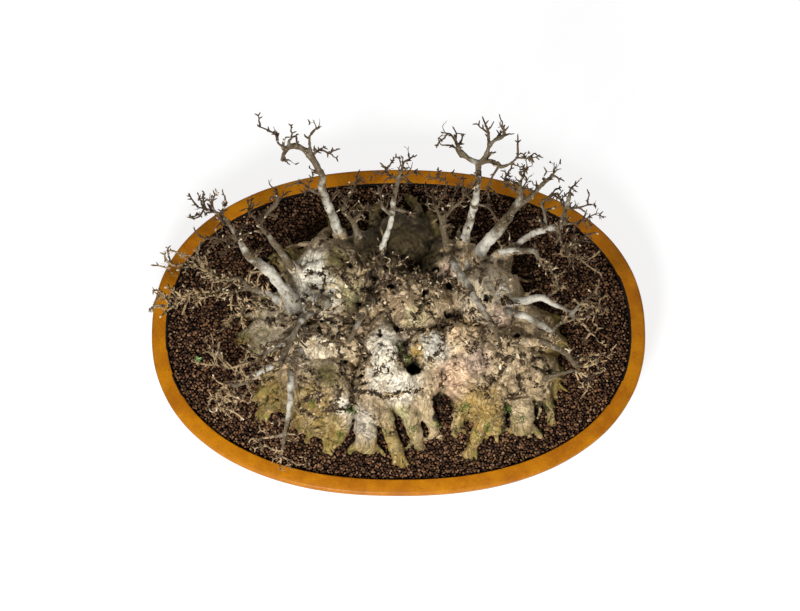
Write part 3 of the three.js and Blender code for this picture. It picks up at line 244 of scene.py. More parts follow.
# Each limb: its name, its number of side shoots and its bends as x, y, z and radius
LIMBS = (
    ("west_pale", 2, ((-123, 15, 112, 9), (-137, 33, 136, 7.5), (-154, 50, 155, 6.8),
        (-179, 64, 172, 6.2))),
    ("west_tip", 3, ((-179, 64, 172, 4.6), (-187, 77, 184, 3.6), (-195, 89, 196, 3.2),
        (-207, 102, 206, 2.8), (-225, 107, 210, 1.6), (-232, 108, 212, 0.8))),
    ("west_side", 2, ((-177, 66, 174, 3.4), (-183, 74, 182, 2.8), (-193, 79, 186, 2.2),
        (-206, 76, 188, 1.5), (-216, 78, 190, 0.9))),
    ("west_spur_a", 0, ((-217, 105, 208, 1.5), (-217, 119, 216, 0.7))),
    ("west_spur_b", 1, ((-225, 107, 210, 1.7), (-231, 99, 206, 1.2), (-239, 96, 206, 0.8))),
    ("west_spur_c", 1, ((-207, 103, 206, 1.8), (-198, 114, 214, 0.9))),
    ("northwest_brown", 3, ((-114, 58, 104, 8), (-130, 64, 132, 6.5), (-143, 77, 158, 5),
        (-155, 89, 170, 4.2), (-163, 102, 180, 3.6), (-142, 120, 196, 3), (-143, 135, 206, 1.2))),
    ("northwest_thin", 1, ((-160, 98, 180, 1.8), (-176, 111, 188, 1.2), (-171, 124, 196, 0.8))),
    ("north_west", 2, ((-65, 84, 118, 10), (-72, 102, 140, 8), (-80, 117, 165, 7), (-89, 134, 200, 6.2),
        (-89, 144, 222, 5), (-100, 157, 250, 5.2))),
    ("north_west_arm", 1, ((-100, 157, 250, 4.6), (-109, 163, 258, 3.8), (-119, 165, 262, 4),
        (-127, 161, 264, 3.4), (-134, 148, 258, 2.4))),
    ("north_west_long", 2, ((-127, 160, 264, 2.6), (-137, 166, 268, 2), (-139, 174, 272, 1.5),
        (-151, 180, 276, 1), (-159, 182, 279, 0.6))),
    ("north_west_stub", 1, ((-124, 163, 264, 2.6), (-125, 168, 268, 2), (-119, 173, 272, 1.6))),
    ("north_west_up", 1, ((-101, 157, 250, 3), (-101, 167, 262, 2.2), (-101, 173, 270, 2.4),
        (-95, 179, 276, 1.4), (-89, 182, 280, 0.7))),
    ("north_west_side", 1, ((-99, 158, 250, 2.2), (-91, 162, 256, 1.3), (-83, 165, 260, 0.8))),
    ("north_west_low", 2, ((-87, 130, 190, 3), (-103, 134, 200, 2.2), (-111, 139, 206, 1.3),
        (-118, 141, 210, 0.8))),
    ("north_small", 2, ((-44, 81, 118, 6.5), (-48, 95, 145, 5.5), (-54, 108, 160, 4),
        (-63, 115, 172, 3.2), (-69, 123, 180, 2))),
    ("north_small_b", 2, ((-54, 108, 160, 3), (-43, 117, 170, 2.2), (-38, 123, 178, 1.2))),
    ("north_small_c", 1, ((-64, 118, 174, 2.2), (-58, 131, 186, 2), (-50, 142, 200, 1.5),
        (-45, 147, 205, 1.1))),
    ("north", 1, ((-24, 70, 112, 7.5), (-19, 84, 140, 5), (-10, 102, 165, 4.2), (-6, 118, 200, 4),
        (0, 134, 240, 3.4))),
    ("north_a", 1, ((-2, 133, 240, 2), (-11, 135, 246, 1.8), (-15, 142, 252, 1.6), (-21, 146, 258, 0.9))),
    ("north_b", 2, ((0, 134, 240, 2.6), (4, 140, 250, 1.8), (6, 146, 258, 1.4), (13, 149, 264, 0.7))),
    ("north_c", 0, ((0, 134, 240, 2), (20, 138, 250, 0.7))),
    ("north_collar", 1, ((-9, 109, 184, 3), (-18, 114, 192, 2.6), (-20, 124, 200, 2),
        (-24, 133, 208, 1.2))),
    ("north_collar_b", 1, ((-8, 114, 192, 3), (4, 110, 196, 2.6), (15, 107, 196, 1.6))),
    ("northeast", 0, ((66, 69, 108, 8), (58, 86, 138, 5.5), (53, 102, 155, 5), (53, 112, 168, 5.2))),
    ("northeast_a", 1, ((50, 111, 168, 3), (42, 122, 180, 2.2), (41, 128, 188, 1.6),
        (39, 138, 196, 0.8))),
    ("northeast_b", 1, ((55, 112, 169, 3), (64, 119, 178, 2.4), (75, 125, 188, 2.2), (76, 134, 198, 1.4),
        (73, 146, 206, 0.8))),
    ("northeast_c", 1, ((45, 119, 177, 1.8), (53, 130, 192, 1.4), (56, 139, 200, 1.1),
        (53, 148, 208, 0.7))),
    ("northeast_d", 0, ((64, 119, 178, 1.6), (64, 130, 188, 1))),
    ("tall", 1, ((72, 77, 116, 10), (78, 91, 142, 7.2), (84, 104, 172, 6.4), (89, 115, 208, 5.6),
        (91, 125, 248, 4.8), (90, 135, 285, 4.4))),
    ("tall_a", 2, ((90, 135, 285, 3.6), (78, 138, 292, 3.2), (70, 144, 298, 3.6), (64, 154, 304, 1.8),
        (58, 161, 308, 1.3), (50, 162, 310, 0.8))),
    ("tall_a_up", 0, ((64, 156, 304, 1.3), (65, 162, 308, 1.2), (60, 168, 314, 0.7))),
    ("tall_a_side", 0, ((65, 162, 308, 0.9), (75, 160, 310, 0.6))),
    ("tall_a_low", 0, ((69, 146, 299, 1.6), (58, 149, 304, 1.2), (48, 149, 306, 1), (44, 155, 310, 0.8))),
    ("tall_b", 1, ((91, 135, 285, 3.2), (98, 141, 295, 3), (101, 149, 302, 2.6), (100, 162, 312, 1.6),
        (93, 177, 322, 0.9))),
    ("tall_b_side", 2, ((101, 148, 301, 2.6), (108, 155, 306, 2.6), (116, 158, 308, 2.6),
        (118, 163, 312, 1.4), (123, 168, 315, 0.8))),
    ("tall_c", 1, ((91, 135, 285, 3.2), (105, 137, 288, 3), (113, 130, 288, 2.8), (122, 130, 292, 2.2),
        (133, 138, 298, 1.7), (133, 149, 306, 1.4), (133, 160, 312, 0.8))),
    ("tall_c_side", 1, ((133, 137, 298, 1.3), (145, 135, 300, 1.1), (159, 137, 304, 0.6))),
    ("tall_c_low", 2, ((112, 130, 288, 1.6), (106, 121, 282, 1.5), (101, 111, 274, 1.8),
        (103, 99, 262, 1.3))),
    ("tall_knot_a", 0, ((89, 113, 205, 2.2), (83, 119, 212, 1.3), (78, 123, 216, 0.8))),
    ("tall_knot_b", 2, ((91, 114, 206, 2.2), (104, 108, 212, 1.6), (111, 99, 212, 1.4),
        (116, 91, 210, 1))),
    ("east_thick", 0, ((86, 65, 112, 12), (97, 76, 142, 8.8), (111, 88, 165, 8), (125, 99, 188, 7.6),
        (129, 103, 195, 7.4))),
    ("east_up", 3, ((125, 100, 187, 5.5), (137, 112, 204, 5), (142, 123, 222, 3.8), (140, 129, 236, 2.8),
        (143, 135, 246, 1.8), (147, 144, 256, 0.8))),
    ("east_up_left", 2, ((140, 123, 220, 2), (126, 129, 232, 1.8), (122, 135, 240, 1))),
    ("east_up_right", 1, ((142, 125, 222, 1.4), (149, 134, 236, 0.7))),
    ("east_dark", 3, ((135, 111, 202, 4.4), (149, 117, 212, 4), (157, 122, 220, 3.2),
        (164, 128, 230, 3.2), (171, 132, 238, 2.2), (182, 141, 248, 0.8))),
    ("east_arc", 1, ((174, 94, 176, 2.6), (170, 112, 192, 2.2), (167, 118, 202, 2.2),
        (179, 123, 210, 1.6), (185, 125, 213, 1.3), (191, 112, 208, 1.2))),
    ("east_far", 2, ((118, 72, 114, 8), (140, 83, 145, 5.2), (157, 91, 162, 4.6), (174, 94, 176, 4.4),
        (189, 93, 188, 4.2), (194, 105, 204, 3.6), (197, 117, 218, 4))),
    ("east_far_tip", 2, ((197, 117, 218, 2.4), (199, 126, 232, 1))),
    ("east_far_a", 1, ((195, 108, 207, 2.2), (210, 106, 218, 1.5), (220, 107, 224, 0.8))),
    ("east_far_b", 2, ((190, 95, 190, 2.2), (207, 93, 200, 1.5), (216, 95, 208, 1.2),
        (231, 100, 216, 0.7))),
    ("east_far_c", 0, ((214, 95, 206, 1.2), (219, 86, 200, 0.8))),
    ("east_lower", 2, ((186, 93, 186, 2.8), (190, 82, 178, 2.2), (193, 74, 172, 1.8), (205, 77, 176, 1.5),
        (215, 79, 178, 0.8))),
    ("east_lower_b", 2, ((193, 74, 172, 1.6), (192, 68, 160, 1.2), (208, 65, 156, 1),
        (227, 63, 154, 0.6))),
    ("east_level", 1, ((98, 63, 118, 7), (121, 73, 150, 5), (141, 72, 158, 4.8), (162, 71, 164, 4.6))),
    ("east_level_tip", 2, ((162, 71, 164, 3.2), (167, 58, 158, 2.4), (180, 50, 152, 2),
        (189, 39, 146, 1.8), (190, 29, 142, 1.3))),
    ("east_white", 1, ((102, 18, 120, 9), (128, 14, 142, 6), (151, 14, 150, 5.4), (168, 17, 152, 4.8),
        (182, 10, 148, 4), (195, 5, 146, 3.2), (208, -6, 146, 3))),
    ("east_white_up", 1, ((171, 16, 151, 2.4), (186, 26, 150, 1.8), (187, 41, 150, 1.2))),
    ("east_white_a", 2, ((204, -2, 146, 2.8), (215, 10, 150, 2.4), (226, 18, 152, 1.6),
        (235, 23, 156, 0.8))),
    ("east_white_b", 1, ((214, 9, 149, 1.8), (226, 9, 150, 1.4), (235, 4, 150, 1.3), (247, 3, 152, 0.7))),
    ("east_white_c", 0, ((235, 4, 150, 1.2), (237, 14, 154, 1.1), (236, 23, 158, 0.7))),
    ("east_white_d", 0, ((235, 4, 150, 1.2), (230, -6, 146, 1), (228, -12, 144, 0.7))),
    ("east_white_e", 1, ((208, -6, 146, 2.2), (218, -8, 146, 1.6), (225, -2, 150, 1))),
    ("east_white_f", 1, ((208, -6, 146, 2.2), (220, -15, 142, 1.6), (227, -23, 138, 1.2),
        (235, -29, 136, 0.8))),
    ("southeast", 1, ((105, 14, 116, 8), (129, 2, 142, 5.5), (151, -6, 148, 5.2), (169, -16, 148, 4.8),
        (180, -23, 146, 4.2), (185, -17, 146, 2.6), (196, -12, 146, 2), (207, -8, 146, 1.6))),
    ("southeast_low", 1, ((143, -27, 104, 7), (170, -29, 124, 4.4), (186, -39, 128, 3.8),
        (198, -46, 128, 4), (209, -58, 124, 4))),
    ("southeast_low_a", 1, ((207, -57, 124, 2.4), (218, -51, 128, 1.7), (228, -48, 132, 1.3),
        (241, -49, 134, 1), (251, -54, 134, 0.6))),
    ("southeast_low_b", 0, ((209, -59, 123, 2.6), (224, -60, 124, 1.6), (235, -56, 128, 1),
        (246, -54, 130, 0.7))),
    ("southeast_low_c", 2, ((173, -69, 100, 4.4), (191, -67, 116, 2.4), (210, -65, 122, 2.4),
        (226, -74, 122, 1.4), (234, -77, 122, 0.7))),
    ("southeast_low_d", 1, ((224, -72, 122, 1.3), (224, -84, 118, 1), (217, -94, 114, 0.7))),
    ("front_diagonal", 2, ((57, 79, 118, 6.5), (63, 63, 152, 5.4), (74, 34, 178, 5), (83, 18, 186, 4.8),
        (91, 1, 190, 4.8), (99, -13, 190, 4.6), (108, -25, 186, 4.2), (117, -44, 180, 3.4))),
    ("front_diagonal_a", 2, ((107, -24, 186, 2.4), (98, -31, 182, 1.6), (92, -42, 176, 1))),
    ("front_diagonal_b", 2, ((111, -32, 184, 2.2), (126, -28, 184, 1.4), (138, -23, 186, 0.8))),
    ("southwest_dark", 2, ((-86, 18, 128, 7), (-102, -5, 162, 5), (-116, -24, 178, 4.2),
        (-126, -50, 186, 3.8), (-136, -77, 188, 3.2))),
    ("southwest", 2, ((-108, -13, 112, 6.5), (-123, -30, 136, 3.8), (-133, -36, 146, 3.4),
        (-150, -48, 152, 3.2), (-166, -61, 154, 2.6))),
    ("southwest_tip", 2, ((-166, -61, 154, 2), (-182, -64, 152, 1.4), (-199, -69, 148, 1.2),
        (-213, -63, 148, 1), (-218, -45, 152, 0.6))),
    ("southwest_low", 1, ((-130, -44, 102, 7.5), (-149, -61, 128, 5), (-162, -70, 138, 4.2),
        (-177, -81, 142, 4.2), (-190, -88, 142, 3.4))),
    ("southwest_low_a", 1, ((-190, -88, 142, 2.4), (-201, -86, 142, 1.6), (-212, -97, 140, 1))),
    ("southwest_low_b", 1, ((-179, -82, 142, 2), (-175, -90, 138, 1.4), (-184, -101, 134, 1.3),
        (-199, -104, 132, 1.2), (-214, -95, 132, 0.8))),
    ("southwest_low_c", 0, ((-199, -104, 132, 1.2), (-210, -109, 130, 1), (-196, -122, 126, 0.7))),
    ("south_west", 2, ((-117, -42, 122, 7.5), (-124, -75, 156, 5.2), (-124, -106, 164, 4.8),
        (-127, -128, 160, 3.6), (-131, -149, 154, 3), (-134, -165, 148, 2.2), (-137, -185, 140, 0.9))),
    ("south_west_a", 1, ((-131, -148, 154, 2.4), (-141, -149, 150, 2.4), (-155, -150, 144, 1.4),
        (-171, -151, 142, 0.8))),
    ("south_west_b", 1, ((-129, -147, 154, 2), (-118, -147, 150, 1.2), (-109, -144, 148, 0.7))),
    ("south_west_c", 1, ((-134, -167, 147, 1.4), (-146, -164, 146, 1), (-155, -158, 148, 0.7))),
    ("south_west_d", 0, ((-135, -172, 145, 1.4), (-123, -177, 142, 0.9), (-115, -181, 140, 0.8),
        (-104, -179, 142, 0.6))),
    ("south_west_e", 0, ((-124, -76, 156, 1.6), (-108, -86, 160, 1), (-92, -101, 160, 0.7))),
    ("west_low", 1, ((-127, 22, 88, 8), (-144, 24, 115, 6), (-163, 32, 126, 5.4), (-179, 35, 130, 5))),
    ("west_low_tip", 4, ((-179, 35, 130, 3.4), (-189, 45, 136, 2.8), (-206, 41, 138, 2.2),
        (-222, 44, 138, 1.8), (-230, 52, 140, 1.4), (-243, 59, 142, 1.2), (-258, 61, 142, 1),
        (-274, 55, 142, 0.6))),
    ("west_low_b", 4, ((-179, 35, 130, 3), (-201, 30, 128, 2), (-220, 32, 126, 1.6), (-240, 30, 124, 1.3),
        (-261, 25, 124, 1), (-287, 25, 126, 0.6))),
    ("west_low_c", 2, ((-163, 30, 124, 3.4), (-171, 16, 116, 2.6), (-184, 16, 110, 2.2),
        (-195, 7, 106, 1.6), (-205, 0, 104, 1))),
    ("west_low_d", 1, ((-249, 28, 124, 1.2), (-268, 15, 124, 0.9), (-283, 14, 126, 0.6))),
    ("west_low_e", 1, ((-230, 52, 140, 1.4), (-236, 62, 146, 1.1), (-246, 68, 150, 0.7))),
    ("center_south", 2, ((-34, 23, 120, 7), (-43, -3, 150, 4.6), (-50, -22, 156, 4.2),
        (-59, -39, 152, 3))),
    ("center_south_a", 2, ((-58, -38, 152, 2), (-71, -36, 154, 1.2), (-82, -39, 156, 0.8))),
)

# Roots that leave the root mass and run down into the soil
ROOTS = (
    ("leg_grey", ((-37, -77, 100, 16), (-38, -106, 94, 15), (-38, -131, 84, 14), (-38, -152, 70, 12))),
    ("leg_a", ((-24, -86, 90, 13), (-14, -120, 83, 9), (-3, -148, 74, 8), (6, -169, 62, 5))),
    ("leg_b", ((2, -83, 88, 15), (12, -112, 83, 10), (22, -133, 74, 8), (25, -147, 62, 5))),
    ("arch_west", ((20, -83, 87, 14), (32, -104, 81, 9), (41, -121, 72, 7), (44, -134, 62, 5))),
    ("arch_east", ((80, -80, 88, 14), (75, -100, 83, 9), (71, -117, 74, 7), (68, -132, 62, 5))),
    ("leg_c", ((95, -90, 90, 15), (100, -113, 82, 10), (93, -137, 72, 8), (81, -157, 60, 4))),
    ("leg_d", ((112, -90, 88, 16), (115, -110, 79, 13), (117, -128, 68, 10))),
    ("leg_e", ((147, -88, 85, 17), (149, -112, 77, 14), (147, -129, 66, 11))),
    ("toe_a", ((170, -80, 81, 12), (179, -92, 75, 7), (183, -105, 69, 5), (184, -119, 60, 3.5))),
    ("toe_b", ((176, -45, 84, 13), (186, -62, 76, 9), (186, -79, 64, 6))),
    ("toe_c", ((-130, -83, 88, 13), (-142, -90, 78, 10), (-157, -98, 70, 8), (-172, -106, 60, 4))),
    ("toe_d", ((-64, -103, 86, 14), (-68, -122, 78, 11), (-77, -138, 70, 8), (-88, -150, 60, 5))),
    ("toe_e", ((-96, -115, 80, 16), (-92, -129, 66, 12))),
    ("west_a", ((-153, 10, 86, 9), (-171, 3, 78, 7), (-186, -7, 70, 6), (-196, -18, 62, 4))),
    ("west_b", ((-141, -2, 84, 11), (-158, -17, 76, 8), (-166, -32, 66, 6))),
    ("northwest_a", ((-98, 75, 98, 10), (-113, 78, 88, 7), (-126, 90, 82, 6), (-132, 103, 70, 5))),
    ("northwest_b", ((-86, 87, 106, 9), (-93, 109, 96, 7), (-84, 126, 80, 5), (-78, 134, 66, 4))),
    ("northwest_c", ((-119, 39, 98, 9), (-135, 62, 90, 7), (-144, 80, 82, 6), (-156, 95, 66, 4))),
    ("back_a", ((-13, 98, 96, 11), (-28, 124, 88, 8), (-30, 148, 78, 7), (-27, 162, 64, 5))),
    ("back_b", ((34, 105, 92, 11), (29, 133, 86, 7), (20, 157, 78, 6), (12, 174, 64, 4))),
    ("back_c", ((61, 91, 88, 10), (41, 131, 78, 7), (37, 151, 64, 5))),
    ("northeast_a", ((117, 41, 108, 11), (129, 68, 96, 8), (134, 89, 82, 6), (132, 103, 66, 5))),
    ("east_a", ((141, 15, 96, 13), (162, 15, 86, 10), (182, 13, 74, 7), (193, 10, 62, 5))),
    ("east_b", ((164, -56, 82, 11), (183, -57, 74, 7), (200, -53, 62, 4))),
)

# Rounded lumps that have grown together into the root mass: name, middle and half sizes
LUMPS = (
    ("northwest_dome", (-78, 63, 104), (46, 40, 54)),
    ("northwest_brim", (-86, 36, 92), (42, 34, 44)),
    ("northwest_flank", (-44, 78, 96), (36, 40, 42)),
    ("southwest_dome", (-97, -69, 84), (46, 50, 46)),
    ("southwest_crown", (-99, -33, 96), (38, 30, 38)),
    ("pale_ridge", (-17, -32, 102), (22, 42, 42)),
    ("pale_shelf", (-8, -65, 86), (44, 34, 40)),
    ("west_valley", (-59, -13, 88), (34, 36, 38)),
    ("centre_mass", (14, 20, 96), (52, 44, 44)),
    ("centre_knob", (39, -36, 112), (26, 26, 30)),
    ("centre_front", (35, -66, 82), (42, 34, 36)),
    ("pink_slope", (76, -35, 94), (36, 42, 44)),
    ("east_stump", (106, 31, 102), (40, 40, 58)),
    ("south_east", (122, -37, 84), (46, 42, 44)),
    ("front_east", (96, -78, 78), (42, 32, 36)),
    ("far_south_east", (154, -59, 74), (38, 38, 36)),
    ("east_shoulder", (152, -10, 78), (42, 34, 32)),
    ("back_hump", (4, 106, 88), (36, 34, 42)),
    ("back_east", (65, 72, 92), (38, 34, 40)),
    ("back_west", (-18, 65, 88), (34, 34, 36)),
    ("west_shoulder", (-135, 18, 76), (38, 28, 30)),
    ("west_toe", (-159, -10, 68), (26, 20, 16)),
    ("southwest_toe", (-148, -78, 68), (24, 20, 18)),
)

# Dark hollows that rot has opened in the root mass
HOLLOWS = (
    ("west_hollow", (-39, 23, 130), (11, 8, 34)),
    ("centre_hollow", (18, -58, 112), (10, 9, 30)),
    ("north_hollow", (-61, 111, 124), (8, 8, 22)),
    ("heart_hollow", (53, -99, 86), (14, 19, 34)),
)

# Creases and cracks where the lumps meet and where old bark has split: name, width, depth, route
CREASES = (
    ("under_ridge", 6, 9, ((-57, -95), (-52, -84), (-45, -87), (-36, -88), (-27, -89), (-17, -92),
        (-8, -91), (4, -88))),
    ("ridge_fold_west", 5, 7, ((-42, -42), (-51, -53), (-55, -72), (-53, -83), (-56, -94), (-56, -105))),
    ("ridge_fold", 4, 3, ((-2, -46), (-12, -57), (-23, -64), (-31, -71))),
    ("ridge_top", 3, 5, ((-38, -77), (-46, -73), (-50, -68))),
    ("shelf_west", 4, 5, ((-71, -35), (-68, -50), (-67, -65), (-60, -72), (-55, -78))),
    ("dome_edge", 4, 4, ((-71, -82), (-69, -92), (-75, -101), (-90, -109))),
    ("dome_slash", 3, 4, ((-121, -103), (-110, -99), (-101, -97), (-92, -91))),
    ("dome_slash_low", 3, 3, ((-119, -105), (-108, -112), (-97, -116))),
    ("dome_arc", 3, 2, ((-115, -76), (-109, -69), (-101, -67), (-95, -73))),
    ("under_shelf", 6, 6, ((-90, -110), (-75, -105), (-64, -106), (-52, -99))),
    ("brim_gap", 5, 9, ((-114, 23), (-108, 14), (-97, 6), (-82, -1), (-67, -11), (-58, -6))),
    ("brim_gap_low", 5, 7, ((-96, -6), (-90, -24), (-75, -23), (-63, -21))),
    ("dome_fold", 5, 6, ((-67, 64), (-62, 55), (-66, 46), (-58, 37), (-51, 33))),
    ("dome_fold_west", 4, 5, ((-111, 49), (-103, 51), (-90, 47), (-86, 44), (-91, 30))),
    ("dome_fold_mid", 4, 3, ((-89, 52), (-79, 54), (-68, 45), (-58, 36))),
    ("dome_ring", 3, 3, ((-45, 76), (-34, 67), (-27, 56), (-22, 43))),
    ("dome_ring_b", 3, 2.5, ((-50, 69), (-42, 57), (-39, 46))),
    ("back_slot", 7, 9, ((-17, 76), (-15, 64), (-8, 56))),
    ("west_clutter", 7, 7, ((-44, 37), (-34, 41), (-24, 32), (-15, 32))),
    ("valley_dark", 5, 7, ((-52, 3), (-55, -16), (-46, -27), (-41, -36))),
    ("valley_dark_b", 4, 6, ((-90, -34), (-75, -27), (-60, -33), (-48, -39), (-32, -46))),
    ("knob_west", 4, 6, ((17, -18), (10, -25), (10, -39), (17, -50), (30, -59))),
    ("knob_east", 3, 3, ((50, -16), (51, -34), (49, -46), (39, -55))),
    ("knob_top", 4, 5, ((9, -15), (21, -12), (35, -18), (50, -9), (61, -9))),
    ("stump_crack", 3, 5, ((76, 6), (85, 5), (94, 6), (101, 8))),
    ("stump_crack_b", 3, 4, ((71, 10), (77, -4), (87, -13))),
    ("stump_rim", 3, 3, ((49, 0), (64, -8), (61, -21))),
    ("pink_arc", 2.5, 2, ((77, -39), (84, -45), (94, -40))),
    ("pink_arc_b", 2.5, 2, ((77, -33), (85, -38), (93, -33))),
    ("east_crack", 3.5, 6, ((104, -52), (111, -48), (120, -43), (126, -50), (141, -47), (151, -41))),
    ("east_crack_b", 4, 7, ((104, -84), (113, -72), (120, -67), (126, -59), (122, -48))),
    ("east_crack_c", 4, 7, ((144, -64), (143, -77), (149, -83), (137, -88), (127, -93))),
    ("east_crack_d", 4, 7, ((158, -55), (168, -59), (180, -60))),
    ("east_crack_e", 3, 4, ((154, -67), (162, -75), (175, -82))),
    ("east_crack_f", 3, 3, ((94, -81), (104, -90), (111, -95))),
    ("centre_pit_line", 5, 5, ((-1, -35), (2, -47), (7, -59))),
    ("front_seam", 3, 2.5, ((31, -86), (20, -84), (8, -87), (-3, -90))),
    ("plateau_west", 5, 6, ((64, 67), (58, 52), (69, 38), (82, 22))),
    ("plateau_mid", 6, 8, ((37, 21), (34, 9), (46, -3))),
    ("centre_line", 5, 7, ((4, -15), (-3, -11), (-10, -3), (-17, 5))),
    ("centre_line_b", 4, 6, ((26, 27), (30, 18), (23, 6))),
    ("moss_gap", 7, 12, ((129, -98), (132, -107), (128, -119), (126, -128))),
    ("toe_gap", 7, 14, ((162, -94), (172, -97), (179, -101))),
    ("west_gap", 6, 10, ((-165, 33), (-157, 21), (-150, 16))),
)

# Small dark pits in the root mass: place, radius and depth
PITS = (
    (-2, -14, 3.5, 18), (-22, -24, 3, 15), (30, 28, 4, 18), (58, 8, 3, 12), (-30, 52, 4, 21),
    (92, -8, 3, 12), (140, -22, 3.5, 13.5), (-64, -50, 3, 13.5), (-44, -66, 3, 18), (62, 44, 4, 18),
    (-41, 22, 5.5, 24), (18, 60, 4, 18), (-8, 38, 4, 15), (46, 62, 4, 16.5), (-72, -22, 3, 13.5),
    (104, 16, 3.5, 13.5), (-58, 60, 3, 12),
)

# Where old pruning left a thicket of dead stubs and short twigs on the root mass:
# place, reach and number of twigs
THICKETS = (
    (-30, 40, 30, 40), (12, 30, 34, 56), (44, 36, 24, 30), (84, 44, 18, 16), (-62, -6, 20, 20),
    (-88, 26, 22, 12), (96, -8, 18, 14), (-112, -16, 18, 14), (-140, 10, 20, 18), (128, 20, 16, 10),
    (4, 62, 22, 16), (-44, -52, 16, 14), (140, -40, 20, 10),
)

# Where old bark has come off in pale chips: place, reach and number of chips
CHIPPED = (
    (74, -26, 22, 26), (34, -12, 24, 20), (10, 34, 36, 44), (-102, -22, 20, 20), (-62, -36, 20, 20),
    (100, -6, 22, 20), (50, 36, 26, 26), (116, 26, 24, 18), (-52, 16, 24, 22), (-96, -100, 20, 8),
    (130, -50, 28, 26), (84, -66, 20, 10), (-88, 20, 20, 12),
)

# Open places that rain keeps clear of crumbs: place and reach
BARE = (
    (2, 92, 40), (-14, -38, 21), (-16, -64, 18), (-86, -68, 24), (-75, 57, 18), (45, -37, 14),
    (66, -72, 14), (-46, -124, 14), (-95, -34, 13),
)

# Cushions of moss: place and reach
MOSS = (
    (-57, -106, 6), (10, -47, 6), (131, -104, 6), (50, -119, 5), (2, -36, 6), (19, -61, 7),
    (80, -103, 6), (16, -128, 5), (-102, -104, 5), (106, -124, 5), (148, -116, 4), (-70, -132, 4),
)

# Limbs that are crowded with sprigs, by the start of their names, and how much more than others
CROWDED = (
    ("southwest", 0.8), ("west_low", 2), ("west_tip", 1.5), ("west_side", 2), ("northwest", 1.6),
    ("east_dark", 1.7), ("east_up", 1.5), ("east_far_", 1.6), ("east_lower", 1.7), ("east_level_tip", 1.6),
    ("northeast", 1.5), ("north_small", 1.7), ("southwest_low_", 1.3), ("tall_", 0.5),
    ("north_west_", 0.5), ("east_white", 0.7), ("south_west", 0.6), ("front_diagonal", 0.4),
)

# Limbs with long curled twigs over the soil, by the start of their names
CURLED = ("west_low", "west_tip", "west_side", "southwest", "east_lower")

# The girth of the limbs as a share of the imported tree's: of most limbs, and of these
OTHER_GIRTHS = 0.85
LIMB_GIRTHS = {"tall": 0.78, "north_west": 0.74, "front_diagonal": 0.82, "west_pale": 0.92,
               "east_white": 0.9, "east_level": 0.8, "east_far": 0.82, "north": 0.8}

# How pale and smooth the bark of the main limbs is, what share of that the limbs on them keep, and
# how pale all others are
SIDE_TONES = 0.45
OTHER_TONES = 0.25
LIMB_TONES = {
    "west_pale": 1, "east_white": 1, "east_thick": 0.85, "southwest_low": 0.8, "southeast": 0.5,
    "southwest": 0.7, "south_west": 0.5, "tall": 0.62, "front_diagonal": 0.5, "east_level": 0.6,
    "east_far": 0.62, "north": 0.7, "west_low": 0.62, "north_west": 0.5, "southwest_dark": 0.42,
    "southeast_low": 0.25, "northwest_brown": 0.1, "center_south": 0.35, "north_small": 0.2,
    "east_dark": 0.05, "northeast": 0.1,
}


def tone(red, green, blue):
    """A colour given as 0 to 255 on screen, as the linear colour that shaders take"""
    channels = (value / 255 for value in (red, green, blue))
    return tuple(v / 12.92 if v <= 0.04045 else ((v + 0.055) / 1.055) ** 2.4 for v in channels)


OLIVE = tone(104, 92, 50)
# Olive bark, darkened as painted shade where it lies on the back of the root mass
SHADED_OLIVE = tone(52, 42, 14)
OCHRE = tone(160, 130, 68)
YELLOW_OCHRE = tone(144, 118, 60)
TAN = tone(180, 156, 120)
TAN_GREY = tone(204, 186, 156)
PALE_GREY = tone(226, 219, 200)
WHITE_GREY = tone(232, 222, 200)
CREAM = tone(222, 204, 172)
PINK = tone(212, 176, 142)
PEACH = tone(244, 210, 164)
BROWN = tone(152, 128, 96)
STONE_GREY = tone(168, 158, 140)
SAGE = tone(168, 158, 112)
PINK_GREY = tone(184, 158, 136)

# Patches whose channels add up to more than this are pale, and stop above the soil. A higher edge
# number gives patches sharper borders.
PALE_SUM = 1.5
PATCH_EDGE = 5

# How the root mass has weathered: place, reach and colour of each patch of bark. The shaded olive patches on
# its back are olive bark darkened as painted shade.
WEATHERING = (
    (-75, 60, 18, OLIVE), (-102, 58, 18, PALE_GREY), (-108, 31, 24, PALE_GREY),
    (-84, 4, 17, TAN_GREY), (-95, -34, 25, CREAM), (-86, -70, 17, OLIVE),
    (-104, -104, 22, YELLOW_OCHRE), (-14, -36, 19, WHITE_GREY), (-20, -66, 17, WHITE_GREY),
    (4, -82, 19, WHITE_GREY), (21, -44, 10, OCHRE), (45, -37, 18, PALE_GREY),
    (72, -28, 20, PEACH), (66, -72, 20, PINK), (100, 26, 24, TAN_GREY), (119, 22, 11, PALE_GREY),
    (127, -40, 30, TAN), (-46, -124, 17, STONE_GREY), (8, 26, 30, BROWN),
    (4, 96, 50, SHADED_OLIVE), (-30, 84, 28, SHADED_OLIVE), (34, 80, 20, SHADED_OLIVE),
    (20, 4, 13, SAGE), (60, 52, 15, PINK_GREY), (-88, -12, 9, PEACH), (-58, 26, 15, SAGE),
    (92, -50, 20, PINK_GREY), (-8, 52, 14, PINK_GREY), (118, -2, 14, PINK_GREY),
    (-64, -104, 9, WHITE_GREY), (6, -112, 12, SAGE), (-98, 42, 13, PALE_GREY), (-84, 22, 15, PALE_GREY),
    (108, 52, 14, TAN_GREY),
    (36, -112, 30, TAN), (98, -108, 30, OCHRE), (148, -100, 26, TAN), (-72, -142, 18, YELLOW_OCHRE),
    (-152, -92, 22, YELLOW_OCHRE), (-152, 0, 28, TAN_GREY), (-50, -10, 16, BROWN),
)


def lehmer(seed):
    """The part's own seeded random numbers between 0 and 1"""
    state = seed
    while True:
        state = (state * 16807) % 2147483647
        yield state / 2147483647


def any_turn(chance):
    """A random turn, in radians"""
    return chance.uniform(0, FULL_TURN)


def any_push(chance, reach):
    """A random vector, each of whose parts is at most that long"""
    return Vector([chance.uniform(-reach, reach) for _ in range(3)])


